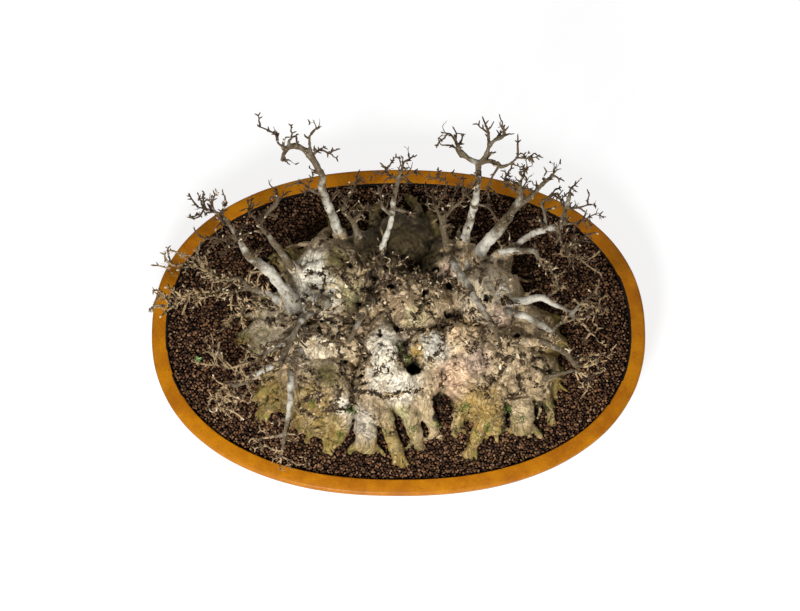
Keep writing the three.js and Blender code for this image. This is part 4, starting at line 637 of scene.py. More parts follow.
def way_out(along, chance):
    """A random direction square to that one"""
    side = along.orthogonal().normalized()
    side.rotate(Matrix.Rotation(any_turn(chance), 3, along))
    return side


def search_tree(places):
    """A tree that finds the nearest of these places, its number and how far it is"""
    tree = kdtree.KDTree(len(places))
    for number, place in enumerate(places):
        tree.insert(place, number)
    tree.balance()
    return tree


def smoothstep(value, low, high):
    """0 below low, 1 above high and a smooth rise between"""
    share = min(max((value - low) / (high - low), 0), 1)
    return share * share * (3 - 2 * share)


def mixed(a, b, share):
    """The value, or the colour, that lies that share of the way from a to b"""
    if isinstance(a, (int, float)):
        return a + (b - a) * share
    return tuple(mixed(p, q, share) for p, q in zip(a, b))


def drift(place):
    """A soft random vector that belongs to a place"""
    return Vector([noise.noise(place + Vector(shift)) for shift in DRIFT_SHIFTS])


def oval_reach(x, y, inset=RIM_WIDTH):
    """0 at the pot's middle and 1 on the oval that lies inset inside the rim's outer edge"""
    along = abs(x) / (HALF_LENGTH - inset)
    across = abs(y) / (HALF_DEPTH - inset)
    return (along ** OVAL_POWER + across ** OVAL_POWER) ** (1 / OVAL_POWER)


def soil_height(x, y):
    """The height of the soil, without its grains"""
    reach = min(oval_reach(x, y), 1)
    mound = SOIL_MOUND * (1 - reach ** 2)
    return SOIL_EDGE + mound - SOIL_GROOVE * smoothstep(reach, GROOVE_START, 1)


def grain_level(x, y):
    """The height of the grains, which are heaped a little against the wall"""
    heaped = HEAP_FOOT + HEAP_RISE * smoothstep(oval_reach(x, y), HEAP_START, HEAP_END)
    return max(soil_height(x, y), heaped)


def dome_height(at, half, x, y):
    """The height of one lump: a dome with flutes down its sides and a steep skirt outside it"""
    dx = (x - at[0]) / half[0]
    dy = (y - at[1]) / half[1]
    around = math.atan2(dy, dx)
    phase = at[0] * 0.13 + at[1] * 0.07
    flutes = math.sin(5 * around + phase) + 0.7 * math.sin(9 * around - 2 * phase)
    reach = math.hypot(dx, dy) * (1 + FLUTE_DEPTH * flutes)
    if reach < SKIRT_START:
        return at[2] + half[2] * math.sqrt(1 - reach ** 2)
    return at[2] + half[2] * (SKIRT_TOP - SKIRT_FALL * (reach - SKIRT_START))


def oval_distance(at, half, x, y):
    """How far a place is from the middle of a lump or a hollow: 1 on its edge"""
    return math.hypot((x - at[0]) / half[0], (y - at[1]) / half[1])


def mass_height(x, y):
    """The height of the root mass, where its lumps run into one another"""
    return blended_height([dome_height(at, half, x, y) for name, at, half in LUMPS])


def blended_height(domes):
    """The height at a place where these are the heights of the lumps"""
    total = sum(math.exp(dome / LUMP_BLEND) for dome in domes)
    return max(LUMP_BLEND * math.log(max(total, 1e-9)), MASS["bottom"] + 1)


def pit_share(x, y):
    """How far down a place lies in one of the hollows or pits: 0 outside, 1 at the bottom"""
    share = 0
    for name, at, half in HOLLOWS:
        share = max(share, 1 - smoothstep(oval_distance(at, half, x, y), *HOLLOW_SHADE))
    for pit_x, pit_y, radius, depth in PITS:
        reach = math.hypot(x - pit_x, y - pit_y) / radius
        share = max(share, 1 - smoothstep(reach, *PIT_SHADE))
    return share


def crease_map():
    """The places along all the creases, to search by nearness, with each place's width and depth"""
    places = []
    for name, width, depth, route in CREASES:
        for start, end in zip(route, route[1:]):
            count = math.ceil(math.dist(start, end) / CREASE_STEP)
            for i in range(count + 1):
                spot = Vector(start).lerp(Vector(end), i / count)
                places.append((spot.to_3d(), width, depth))
    return search_tree([spot for spot, width, depth in places]), places


def crease_depth(creases, place):
    """How deep the nearest crease is at a place, with a wavering edge"""
    tree, places = creases
    waver = drift(place / WAVER_SPACING)
    around = (place.x + CREASE_WAVER * waver.x, place.y + CREASE_WAVER * waver.y, 0)
    spot, number, far = tree.find(around)
    width = places[number][1]
    return places[number][2] * (1 - smoothstep(far, 0.05 * width, 0.5 * width))


def carved_height(x, y, creases):
    """The height of the root mass with its swellings, and with its creases and hollows sunk in"""
    domes = [dome_height(at, half, x, y) for name, at, half in LUMPS]
    height = blended_height(domes)
    if height < CUT_HEIGHT:
        return height
    place = Vector((x, y, 0))
    second, first = sorted(domes)[-2:]
    height -= SEAM_DEPTH * (1 - smoothstep(first - second, 0, SEAM_WIDTH))
    broad = SWELLING * noise.noise(place / SWELLING_SPACING)
    height += broad + KNOBBINESS * noise.noise(place / KNOB_SPACING + Vector((7, 3, 1)))
    ridge = max(0, FURROW_SHARE - abs(noise.noise(place / FURROW_SPACING + Vector((2, 8, 5)))))
    height -= FURROW_DEPTH * ridge / FURROW_SHARE
    height -= crease_depth(creases, place)
    stray = 0.18 * noise.noise(place / 6)
    for name, at, half in HOLLOWS:
        reach = oval_distance(at, half, x, y) + stray
        floor = at[2] - half[2]
        height = mixed(min(height, floor), height, smoothstep(reach, *HOLLOW_EDGE))
    for pit_x, pit_y, radius, depth in PITS:
        reach = math.hypot(x - pit_x, y - pit_y) / radius + 2 * stray
        height -= depth * (1 - smoothstep(reach, *PIT_EDGE))
    return height


def keep_inside(place):
    """The place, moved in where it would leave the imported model's box"""
    reach = LOOSEST_TWIG
    return Vector((
        min(max(place.x, -reach.x), reach.x), min(max(place.y, -reach.y), reach.y),
        min(place.z, reach.z),
    ))


def bent_route(route, step, stiffness=0.3):
    """Points about every step along a limb, which eases round its bends. A point holds x, y, z
    and the radius, in millimetres."""
    bends = [Vector(bend) for bend in route]
    ends = [2 * bends[0] - bends[1]] + bends + [2 * bends[-1] - bends[-2]]
    points = []
    for before, start, end, after in zip(ends, ends[1:], ends[2:], ends[3:]):
        count = max(1, round((end.xyz - start.xyz).length / step))
        out = stiffness * (end - before)
        back = stiffness * (after - start)
        for i in range(count):
            t = i / count
            ease = t * t * (3 - 2 * t)
            point = start + (end - start) * ease + out * (t * (1 - t) ** 2) - back * (t * t * (1 - t))
            point.w = start.w + (end.w - start.w) * t
            points.append(point)
    points.append(bends[-1])
    return points


def place_along(route, share):
    """The point and the heading that share of the way along a limb, counted in bends"""
    spot = share * (len(route) - 1)
    index = min(int(spot), len(route) - 2)
    start = Vector(route[index])
    end = Vector(route[index + 1])
    return start.lerp(end, spot - index), (end.xyz - start.xyz).normalized()


def grow_shoot(start, heading, turn, length, chance):
    """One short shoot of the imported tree: it leaves its limb sideways and turns up to the light"""
    across = heading.cross(Vector((0, 0, 1)))
    if across.length < 0.3:
        across = Vector((1, 0, 0))
    across = Matrix.Rotation(turn, 3, heading) @ across.normalized()
    stray = Vector((next(chance) - 0.5, next(chance) - 0.5, next(chance) - 0.1))
    aim = (0.5 * heading + across + 0.6 * stray).normalized()
    tip = keep_inside(start.xyz + length * aim)
    return [Vector((*start.xyz, min(SHOOT_GIRTH * start.w, THICKEST_SHOOT))), Vector((*tip, 0))]


def shoots_of(limb, index):
    """The side shoots of one limb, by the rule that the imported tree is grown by"""
    name, count, route = limb
    chance = lehmer(7919 + 104729 * index)
    shoots = []
    turn = 2 * math.pi * next(chance)
    for i in range(count):
        share = SHOOTS_START + SHOOTS_SPAN * (i + next(chance)) / count
        start, heading = place_along(route, share)
        turn += SHOOT_TURN
        length = SHOOT_LENGTH + SHOOT_VARIETY * next(chance)
        shoot = grow_shoot(start, heading, turn, length, chance)
        shoots.append(shoot)
        if length > FORKED_LENGTH:
            fork, heading = place_along(shoot, 0.5)
            shoots.append(grow_shoot(fork, heading, turn + 2, 0.55 * length, chance))
    return shoots


class Value:
    """An output of a shader node that takes part in ordinary arithmetic"""

    def __init__(self, finish, socket):
        self.finish = finish
        self.socket = socket

    def __add__(self, other):
        return self.finish.maths("ADD", self, other)

    def __sub__(self, other):
        return self.finish.maths("SUBTRACT", self, other)

    def __mul__(self, other):
        return self.finish.maths("MULTIPLY", self, other)

    def __rsub__(self, other):
        return self.finish.maths("SUBTRACT", other, self)

    __radd__ = __add__
    __rmul__ = __mul__


class Finish:
    """A procedural material: its nodes are asked for one by one, and end in one shader"""

    def __init__(self, name):
        self.material = bpy.data.materials.new(name)
        self.material.use_nodes = True
        self.tree = self.material.node_tree
        self.tree.nodes.clear()
        self.place = self.node("ShaderNodeTexCoord", output="Object")

    def node(self, kind, settings=None, inputs=None, output=0):
        """Adds a node, with its settings first and then the values or links of its inputs"""
        node = self.tree.nodes.new(kind)
        for key, setting in (settings or {}).items():
            if key == "stops":
                self.set_stops(node.color_ramp, setting)
            else:
                setattr(node, key, setting)
        for key, value in (inputs or {}).items():
            if isinstance(value, Value):
                self.tree.links.new(value.socket, node.inputs[key])
            else:
                node.inputs[key].default_value = value
        return Value(self, node.outputs[output])

    @staticmethod
    def set_stops(ramp, stops):
        """Sets a ramp's stops, each a place from 0 to 1 and a colour"""
        while len(ramp.elements) < len(stops):
            ramp.elements.new(1)
        for element, (spot, colour) in zip(ramp.elements, stops):
            element.position = spot
            element.color = (*colour, 1)

    def maths(self, operation, a, b):
        return self.node("ShaderNodeMath", {"operation": operation}, {0: a, 1: b})

    def attribute(self, name, output="Fac"):
        return self.node("ShaderNodeAttribute", {"attribute_name": name}, output=output)

    def height(self):
        """The height of a place above the ground, in metres"""
        return self.node("ShaderNodeSeparateXYZ", None, {0: self.place}, output="Z")

    def shades(self, stops):
        """The colour that belongs to each crumb's own tint, on a ramp with these stops"""
        return self.node("ShaderNodeValToRGB", {"stops": stops}, {0: self.attribute("tint")})

    def cloud(self, grain, detail=4, roughness=0.55, place=None):
        """Soft noise from 0 to 1, whose clouds are about that many millimetres across"""
        return self.node("ShaderNodeTexNoise", None, {
            "Vector": place or self.place, "Scale": 1 / (grain * MM), "Detail": detail,
            "Roughness": roughness,
        })

    def stirred(self, grain, reach):
        """The place on the piece, moved about by up to that many millimetres"""
        stir = self.node("ShaderNodeTexNoise", None, {"Vector": self.place, "Scale": 1 / (grain * MM)}, 1)
        return self.node("ShaderNodeVectorMath", {"operation": "MULTIPLY_ADD"}, {
            0: stir, 1: (reach * MM,) * 3, 2: self.place,
        })

    def rise(self, value, low, high):
        """0 where the value is below low, 1 above high, smooth between"""
        return self.node("ShaderNodeMapRange", {"interpolation_type": "SMOOTHSTEP"}, {
            "Value": value, "From Min": low, "From Max": high,
        })

    def blend(self, mask, a, b, kind="MIX"):
        """Colour a where the mask is 0 and b where it is 1"""
        return self.node("ShaderNodeMix", {"data_type": "RGBA", "blend_type": kind}, {
            0: mask, 6: a if isinstance(a, Value) else (*a, 1), 7: b if isinstance(b, Value) else (*b, 1),
        }, output=2)

    def tint(self, colour, strength):
        """The colour made lighter or darker by a value around 1"""
        grey = self.node("ShaderNodeCombineColor", None, {0: strength, 1: strength, 2: strength})
        return self.blend(1.0, colour, grey, "MULTIPLY")

    def bump(self, height, depth, strength=1.0, below=None):
        """A relief of that many millimetres where the height goes from 0 to 1"""
        inputs = {"Height": height, "Distance": depth * MM, "Strength": strength}
        if below is not None:
            inputs["Normal"] = below
        return self.node("ShaderNodeBump", None, inputs)

    def shade(self, inputs):
        """Ends the material in one shader with these inputs"""
        shader = self.node("ShaderNodeBsdfPrincipled", None, inputs)
        end = self.tree.nodes.new("ShaderNodeOutputMaterial")
        self.tree.links.new(shader.socket, end.inputs["Surface"])
        return self.material


def finished_piece(name, mesh, material, stands_for=None):
    """Puts a mesh in the scene as one piece of the bonsai"""
    piece = bpy.data.objects.new(name, mesh)
    bpy.context.scene.collection.objects.link(piece)
    mesh.materials.clear()
    mesh.materials.append(material)
    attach(piece, BODY)
    if stands_for:
        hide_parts(stands_for)
    return piece


def mesh_from(form, name):
    """Ends a bmesh in a mesh"""
    mesh = bpy.data.meshes.new(name)
    form.to_mesh(mesh)
    form.free()
    return mesh


def join(form, *meshes):
    """Adds meshes to a bmesh, and removes them"""
    for mesh in meshes:
        form.from_mesh(mesh)
        bpy.data.meshes.remove(mesh)
    return form


def to_metres(form):
    """Scales a bmesh that was made in millimetres"""
    bmesh.ops.scale(form, vec=(MM, MM, MM), verts=form.verts)


def form_from(*meshes):
    """A bmesh made of these meshes, which are then removed"""
    return join(bmesh.new(), *meshes)


def tubes(name, routes, roundness=1):
    """One mesh of round tubes. Each runs along a route of x, y, z and radius in millimetres."""
    curve = bpy.data.curves.new(name, "CURVE")
    curve.dimensions = "3D"
    curve.bevel_depth = MM
    curve.bevel_resolution = roundness
    curve.use_fill_caps = True
    for route in routes:
        spline = curve.splines.new("POLY")
        spline.points.add(len(route) - 1)
        for point, (x, y, z, radius) in zip(spline.points, route):
            point.co = (x * MM, y * MM, z * MM, 1)
            point.radius = radius
    holder = bpy.data.objects.new(name, curve)
    mesh = bpy.data.meshes.new_from_object(holder)
    bpy.data.objects.remove(holder)
    bpy.data.curves.remove(curve)
    return mesh


def with_modifier(mesh, kind, settings):
    """The mesh as it is after one modifier"""
    holder = bpy.data.objects.new("work", mesh)
    bpy.context.scene.collection.objects.link(holder)
    modifier = holder.modifiers.new("work", kind)
    for key, setting in settings.items():
        setattr(modifier, key, setting)
    view = bpy.context.evaluated_depsgraph_get()
    result = bpy.data.meshes.new_from_object(holder.evaluated_get(view))
    bpy.data.objects.remove(holder)
    bpy.data.meshes.remove(mesh)
    return result


def grown_together(mesh, grain):
    """One skin over all the tubes and blocks of a mesh, in squares of that size"""
    return with_modifier(mesh, "REMESH", {"mode": "VOXEL", "voxel_size": grain})


def paint(mesh, name, values):
    """Stores a number or a colour at each vertex"""
    coloured = isinstance(values[0], tuple)
    layer = mesh.attributes.new(name, "FLOAT_COLOR" if coloured else "FLOAT", "POINT")
    if coloured:
        layer.data.foreach_set("color", [c for value in values for c in (*value, 1)])
    else:
        layer.data.foreach_set("value", values)


def soften(mesh, angle=None):
    """Shades a mesh smooth, with edges kept sharp above the angle in degrees, if one is given"""
    mesh.shade_smooth()
    if angle:
        mesh.set_sharp_from_angle(angle=math.radians(angle))


def relax(form, rounds):
    """Eases the steps of a skin, the more the more rounds it gets"""
    for _ in range(rounds):
        bmesh.ops.smooth_vert(form, verts=form.verts, factor=0.5, use_axis_x=True, use_axis_y=True,
                              use_axis_z=True)


def move_all(form, moves, above=0):
    """Moves each vertex that is higher than that by its own vector"""
    for vertex, move in zip(form.verts, moves):
        if vertex.co.z > above * MM:
            vertex.co += move
    form.normal_update()


def hollowness(form, rounds):
    """How far each vertex lies below its surroundings, in millimetres"""
    smooth = form.copy()
    relax(smooth, rounds)
    depths = [(even.co - vertex.co).dot(vertex.normal) / MM
              for vertex, even in zip(form.verts, smooth.verts)]
    smooth.free()
    return depths


def oval_turned(section, sides):
    """A section turned round the pot's axis and drawn out from a circle to the pot's oval"""
    form = bmesh.new()
    points = [form.verts.new((radius, 0, height)) for radius, height in section]
    edges = [form.edges.new(pair) for pair in zip(points, points[1:])]
    bmesh.ops.spin(form, geom=points + edges, axis=(0, 0, 1), cent=(0, 0, 0), dvec=(0, 0, 0),
                   angle=2 * math.pi, steps=sides, use_merge=True, use_duplicate=False)
    bmesh.ops.remove_doubles(form, verts=form.verts, dist=0.001)
    power = 2 / OVAL_POWER
    for vertex in form.verts:
        radius = math.hypot(vertex.co.x, vertex.co.y)
        if radius < 0.01:
            continue
        cosine = vertex.co.x / radius
        sine = vertex.co.y / radius
        inset = HALF_LENGTH - max(radius, CORE_RADIUS)
        shrink = min(radius / CORE_RADIUS, 1)
        vertex.co.x = (HALF_LENGTH - inset) * math.copysign(abs(cosine) ** power, cosine) * shrink
        vertex.co.y = (HALF_DEPTH - inset) * math.copysign(abs(sine) ** power, sine) * shrink
    return form


def build_pot(settings):
    """Turns the oval tray, cuts its feet and drain holes, and marks where it is glazed"""
    wall_foot = HALF_LENGTH - 32
    wall_top = HALF_LENGTH - 9
    inner_foot = HALF_LENGTH - 36
    foot_inner = HALF_LENGTH - 52
    rim_inner = HALF_LENGTH - RIM_WIDTH
    lip = RIM_HEIGHT - RIM_LIP
    section = (
        (0, FOOT_HEIGHT), (120, FOOT_HEIGHT), (foot_inner - 2, FOOT_HEIGHT), (foot_inner, 1),
        (foot_inner + 1, 0), (inner_foot - 1, 0), (inner_foot, 1), (wall_foot, FOOT_HEIGHT + 4),
        (wall_foot + 7, FOOT_HEIGHT + 20), (wall_top - 7, lip - 22), (wall_top, lip - 4),
        (wall_top + 2, lip - 1.5), (HALF_LENGTH - 1.5, lip), (HALF_LENGTH - 0.3, lip + 0.6),
        (HALF_LENGTH, lip + 1.8), (HALF_LENGTH, RIM_HEIGHT - 3.4), (HALF_LENGTH - 0.4, RIM_HEIGHT - 1.8),
        (HALF_LENGTH - 1.4, RIM_HEIGHT - 0.6), (HALF_LENGTH - 3.2, RIM_HEIGHT),
        (HALF_LENGTH - 9, RIM_HEIGHT - 0.2), (rim_inner + 3, RIM_HEIGHT),
        (rim_inner + 1.2, RIM_HEIGHT - 0.4), (rim_inner + 0.3, RIM_HEIGHT - 1.4),
        (rim_inner, RIM_HEIGHT - 3), (rim_inner, RIM_HEIGHT - 8),
        (inner_foot + 6, FLOOR_TOP + 22), (inner_foot, FLOOR_TOP + 4), (inner_foot - 8, FLOOR_TOP),
        (120, FLOOR_TOP), (0, FLOOR_TOP),
    )
    form = oval_turned(section, settings.sides)
    for vertex in form.verts:
        x, y, z = vertex.co
        if z > FOOT_HEIGHT + 8 and oval_reach(x, y, HALF_LENGTH - inner_foot) > 1:
            hand = noise.noise(Vector((x / HALF_LENGTH, y / HALF_DEPTH, z / 90)) * 5)
            vertex.co *= 1 - abs(hand) * settings.unevenness / MM / HALF_LENGTH
    bmesh.ops.recalc_face_normals(form, faces=form.faces)
    to_metres(form)
    pot = with_modifier(mesh_from(form, "pot"), "BOOLEAN", {"object": pot_cutter(), "solver": "EXACT"})
    bpy.data.objects.remove(bpy.data.objects["pot_cutter"])
    glazed = []
    for vertex in pot.vertices:
        x, y, z = vertex.co / MM
        # Inside the wall and under the feet the pot is bare clay, nearly black: dark clay, and painted shade
        # on the inner wall
        inside = oval_reach(x, y) < 1.004 and z > FOOT_HEIGHT + 4
        glazed.append(0.0 if inside or z < FOOT_HEIGHT + 3 else 1.0)
    paint(pot, "glazed", glazed)
    soften(pot, POT_EDGES)
    return finished_piece("glazed_pot", pot, glaze(settings), "pot")


def pot_cutter():
    """The space between the feet and in the two drain holes, as one object to cut with"""
    form = bmesh.new()
    top = FOOT_HEIGHT - 0.4
    bottom = -5
    spare = 9
    for half_x, half_y in ((FOOT_GAP[0], HALF_DEPTH + spare), (HALF_LENGTH + spare, FOOT_GAP[1])):
        bar = bmesh.ops.create_cube(form, size=2)["verts"]
        bmesh.ops.scale(form, vec=(half_x, half_y, (top - bottom) / 2), verts=bar)
        bmesh.ops.translate(form, vec=(0, 0, (top + bottom) / 2), verts=bar)
    for x in (-DRAIN_SPACING / 2, DRAIN_SPACING / 2):
        hole = bmesh.ops.create_cone(form, cap_ends=True, segments=48, radius1=DRAIN_RADIUS,
                                     radius2=DRAIN_RADIUS, depth=FLOOR_TOP)["verts"]
        bmesh.ops.translate(form, vec=(x, 0, FLOOR_TOP / 2 + 4), verts=hole)
    to_metres(form)
    cutter = bpy.data.objects.new("pot_cutter", mesh_from(form, "pot_cutter"))
    bpy.context.scene.collection.objects.link(cutter)
    return cutter


def build_root_mass(settings):
    """Grows the wide fused root mass, with its roots and the feet of the limbs"""
    creases = crease_map()
    chance = random.Random(settings.seed)
    routes = []
    for name, route in ROOTS:
        routes.append([gnarled(point, ROOT_GNARL) for point in bent_route(route, 6)])
        routes += toes_of(route, chance)
    routes += rootlets(settings.rootlets, chance)
    for name, shoots, route in LIMBS:
        if route[0][3] >= THICK_FOOT:
            routes.append([gnarled(point, FOOT_GNARL) for point in bent_route(route[:2], 5)])
    skin = join(mass_block(creases), tubes("roots", routes, 3))
    form = form_from(grown_together(mesh_from(skin, "roots"), settings.grain))
    low = [face for face in form.faces if face.calc_center_median().z < CUT_HEIGHT * MM]
    bmesh.ops.delete(form, geom=low, context="FACES")
    rim = [edge for edge in form.edges if edge.is_boundary]
    bmesh.ops.edgeloop_fill(form, edges=rim)
    relax(form, 1)
    form.normal_update()
    marks = weather_roots(form, settings, creases)
    add_root_ball(form)
    mesh = mesh_from(form, "root_mass")
    spare = len(mesh.vertices) - len(marks["patch"])
    for name, values in marks.items():
        paint(mesh, name, values + [values[-1]] * spare)
    soften(mesh)
    return finished_piece("root_mass", mesh, root_bark(settings), "tree")


def mass_block(creases):
    """The root mass as one block: its carved top over a flat underside"""
    width = MASS["x1"] - MASS["x0"]
    depth = MASS["y1"] - MASS["y0"]
    form = bmesh.new()
    bmesh.ops.create_grid(form, x_segments=round(width / MASS["pitch"]),
                          y_segments=round(depth / MASS["pitch"]), size=0.5)
    for vertex in form.verts:
        x = MASS["x0"] + (vertex.co.x + 0.5) * width
        y = MASS["y0"] + (vertex.co.y + 0.5) * depth
        vertex.co = Vector((x, y, carved_height(x, y, creases))) * MM
    under = bmesh.ops.extrude_face_region(form, geom=form.faces[:], use_keep_orig=True)
    for corner in under["geom"]:
        if isinstance(corner, bmesh.types.BMVert):
            corner.co.z = MASS["bottom"] * MM
    bmesh.ops.recalc_face_normals(form, faces=form.faces)
    return form


def gnarled(point, share):
    """A route's point, pushed aside and thickened or thinned a little, as old wood is"""
    place = point.xyz / 13
    stray = drift(place + Vector((3, 5, 7)))
    moved = point.xyz + stray * (0.35 + share * point.w)
    return Vector((*moved, point.w * (1 + 1.6 * share * noise.noise(place * 1.7))))


def toes_of(route, chance):
    """The toes that a root splits into as it goes into the soil"""
    start = Vector(route[-2])
    end = Vector(route[-1])
    heading = (end.xyz - start.xyz).normalized()
    toes = []
    for side in TOE_SIDES:
        turn = side * chance.uniform(0.5, 0.95)
        aim = Matrix.Rotation(turn, 3, "Z") @ heading
        aim.z = -0.35
        toe = [Vector((*start.xyz, chance.uniform(0.4, 0.62) * start.w))]
        length = chance.uniform(4, 9)
        for _ in range(4):
            aim = Matrix.Rotation(chance.uniform(-0.4, 0.4), 3, "Z") @ aim
            place = toe[-1].xyz + length * aim.normalized()
            place.z = max(place.z, soil_height(place.x, place.y) - 2.5)
            toe.append(Vector((*place, toe[-1].w * TOE_TAPER)))
        toes.append(toe)
    return toes


def rootlets(count, chance):
    """Thin roots that creep out from under the root mass, all the way round"""
    routes = []
    for i in range(count):
        around = 2 * math.pi * (i + chance.random()) / count
        out = Vector((math.cos(around), math.sin(around), 0))
        reach = 50
        while mass_height(10 + reach * out.x, reach * out.y) > soil_height(0, 0) + 12:
            reach += 3
        place = Vector((10, 0, 0)) + (reach - 9) * out
        place.z = mass_height(place.x, place.y) - 3
        girth = chance.uniform(2, 4)
        route = [Vector((*place, girth))]
        aim = out.copy()
        for _ in range(chance.randint(4, 7)):
            aim = Matrix.Rotation(chance.uniform(-0.6, 0.6), 3, "Z") @ aim
            place = place + chance.uniform(4, 7) * aim
            girth *= ROOTLET_TAPER
            ground = soil_height(place.x, place.y)
            place.z = max(place.z - 4.5, ground + 0.3 * girth)
            route.append(Vector((*place, girth)))
        route.append(Vector((*(place + 5 * aim - Vector((0, 0, 4))), 0.6 * girth)))
        routes.append(route)
    return routes


def add_root_ball(form):
    """The fibrous ball of fine roots under the root mass, inside the soil"""
    ball = bmesh.ops.create_cone(form, cap_ends=True, segments=64, radius1=0.96, radius2=1, depth=1)
    height = ROOT_BALL["top"] - ROOT_BALL["bottom"]
    sizes = (ROOT_BALL["half_length"] * MM, ROOT_BALL["half_depth"] * MM, height * MM)
    middle = (ROOT_BALL["x"] * MM, ROOT_BALL["y"] * MM, (ROOT_BALL["bottom"] + height / 2) * MM)
    bmesh.ops.scale(form, vec=sizes, verts=ball["verts"])
    bmesh.ops.translate(form, vec=middle, verts=ball["verts"])


def weather_roots(form, settings, creases):
    """Cuts gullies, streaks and torn plates into the root mass, and works out the marks that its
    bark's finish reads"""
    centres = search_tree([(at[0], at[1], 0) for name, at, half in LUMPS])
    knob = next(Vector((at[0], at[1], 0)) for name, at, half in LUMPS if name == "centre_knob")
    marks = {name: [] for name in ("patch", "flow", "crack", "streak", "plate")}
    moves = []
    for vertex in form.verts:
        place = vertex.co / MM
        flat = Vector((place.x, place.y, 0))
        centre, number, far = centres.find(flat)
        around = math.atan2(place.y - centre.y, place.x - centre.x)
        warp = drift(place / 15) * 0.7
        streak = noise.noise(Vector((around * 3.1, far / 17, number * 7)) + 0.6 * warp)
        fibre = noise.noise(Vector((around * 9, far / 21, number * 5)) + 0.8 * warp)
        wide, other = noise.voronoi(place * MM / settings.gully_spacing + 1.5 * warp)[0][:2]
        gully = 1 - smoothstep(other - wide, 0.01, 0.1)
        old = smoothstep(noise.noise(place / 27 + Vector((9, 1, 4))), -0.1, 0.25)
        broad = noise.noise(place / 13 + warp + Vector((5, 5, 5)))
        torn = noise.noise(place / 6 + 1.5 * warp)
        plate = smoothstep(broad, 0.02, 0.1) + 0.5 * smoothstep(torn, 0.1, 0.2)
        fine = noise.noise(place / 3.1)
        crack = max(0.8 * gully * old, min(crease_depth(creases, place) / 6, 1)) * (0.85 + 0.5 * fine)
        move = (STREAK_RELIEF * streak + FIBRE_RELIEF * fibre + FINE_RELIEF * fine
                + ring_height(flat - knob, around) + PLATE_RELIEF * plate)
        move -= settings.gully_depth / MM * gully * old
        moves.append(vertex.normal * move * MM)
        marks["flow"].append(flow_of(place, around, number, far, broad))
        # The mark is dark bark along cracks and gullies, and painted shade in creases, hollows and pits
        marks["crack"].append(max(crack, pit_share(place.x + 8 * warp.x, place.y + 8 * warp.y)))
        marks["streak"].append(streak + 0.5 * fibre)
        marks["plate"].append(plate)
    move_all(form, moves, CUT_HEIGHT + 1)
    # These two marks tell the bark finish where to paint shade in hollows
    marks["sunk"] = hollowness(form, SUNK_ROUNDS)
    marks["deep"] = hollowness(form, DEEP_ROUNDS)
    marks["patch"] = [patch_colour(vertex.co / MM) for vertex in form.verts]
    return marks


def ring_height(offset, around):
    """The height of the rings that wind round the centre knob"""
    if offset.length >= RING_REACH:
        return 0
    return RING_RELIEF * math.sin(offset.length * 1.05 + 1.3 * around)


def flow_of(place, around, number, far, broad):
    """Where a place lies among the bark's fibres, which run down the low roots, out from the middle
    of most lumps and in rings round the others"""
    bend = drift(place / 22)
    if place.z - soil_height(place.x, place.y) < 32 + 14 * broad:
        down = math.atan2(place.y - FLOW_CENTRE[1], place.x - FLOW_CENTRE[0]) + 0.1 * bend.x
        reach = math.hypot(place.x - FLOW_CENTRE[0], place.y - FLOW_CENTRE[1])
        return 32 * math.cos(down), 32 * math.sin(down), (reach + 10 * bend.y) / 30
    angle = around + 0.6 * bend.x
    spokes, ring_width = (5, 26) if number % 3 else (2, 3)
    along = (far + 8 * bend.y) / ring_width
    return spokes * math.cos(angle) + number, spokes * math.sin(angle), along


def patch_colour(place):
    """The colour of the bark at a place on the root mass: patches with torn edges"""
    above = place.z - soil_height(place.x, place.y)
    stray = noise.noise(place / 12) + 0.5 * noise.noise(place / 5 + Vector((3, 1, 2)))
    base = mixed(YELLOW_OCHRE, TAN, smoothstep(above + 8 * stray, 10, 40))
    total = math.exp(-PATCH_EDGE * 1.1)
    sums = [total * channel for channel in base]
    for x, y, reach, colour in WEATHERING:
        low = 1.2 * (1 - smoothstep(above, 8, 26)) if sum(colour) > PALE_SUM else 0
        far = math.hypot(place.x - x, place.y - y) / reach + 0.5 * stray + low
        if far < 2.6:
            weight = math.exp(-PATCH_EDGE * max(far, 0.2))
            total += weight
            sums = [channel + weight * part for channel, part in zip(sums, colour)]
    return tuple(channel / total for channel in sums)


def bark_tone(name):
    """How pale a limb's bark is: 0 dark, 1 pale"""
    if name in LIMB_TONES:
        return LIMB_TONES[name]
    family = max((limb for limb in LIMB_TONES if name.startswith(limb)), key=len, default=None)
    return SIDE_TONES * LIMB_TONES[family] if family else OTHER_TONES


def limb_points(name, route):
    """The bends of a limb eased, pushed about a little, knuckled, and flared where it is rooted"""
    girth = LIMB_GIRTHS.get(name, OTHER_GIRTHS)
    flare = 0.5 if name in LIMB_TONES else 0.2
    start = Vector(route[0][:3])
    points = []
    for number, point in enumerate(bent_route(route, 3)):
        moved = gnarled(point, LIMB_GNARL)
        knuckle = max(0, noise.noise(Vector((number * 0.47, route[0][0], route[0][1]))))
        near = 1 - smoothstep((point.xyz - start).length, 0, 3.2 * point.w)
        moved.w *= girth * (1 + flare * near + 0.4 * knuckle / max(1, point.w / 3))
        points.append(moved)
    return points


def girth_split(points, limit):
    """The stretch of a limb that is at least that thick, and the stretch that is thinner"""
    last = max((i for i, point in enumerate(points) if point.w >= limit), default=-1)
    return points[:last + 1], points[max(last, 0):]


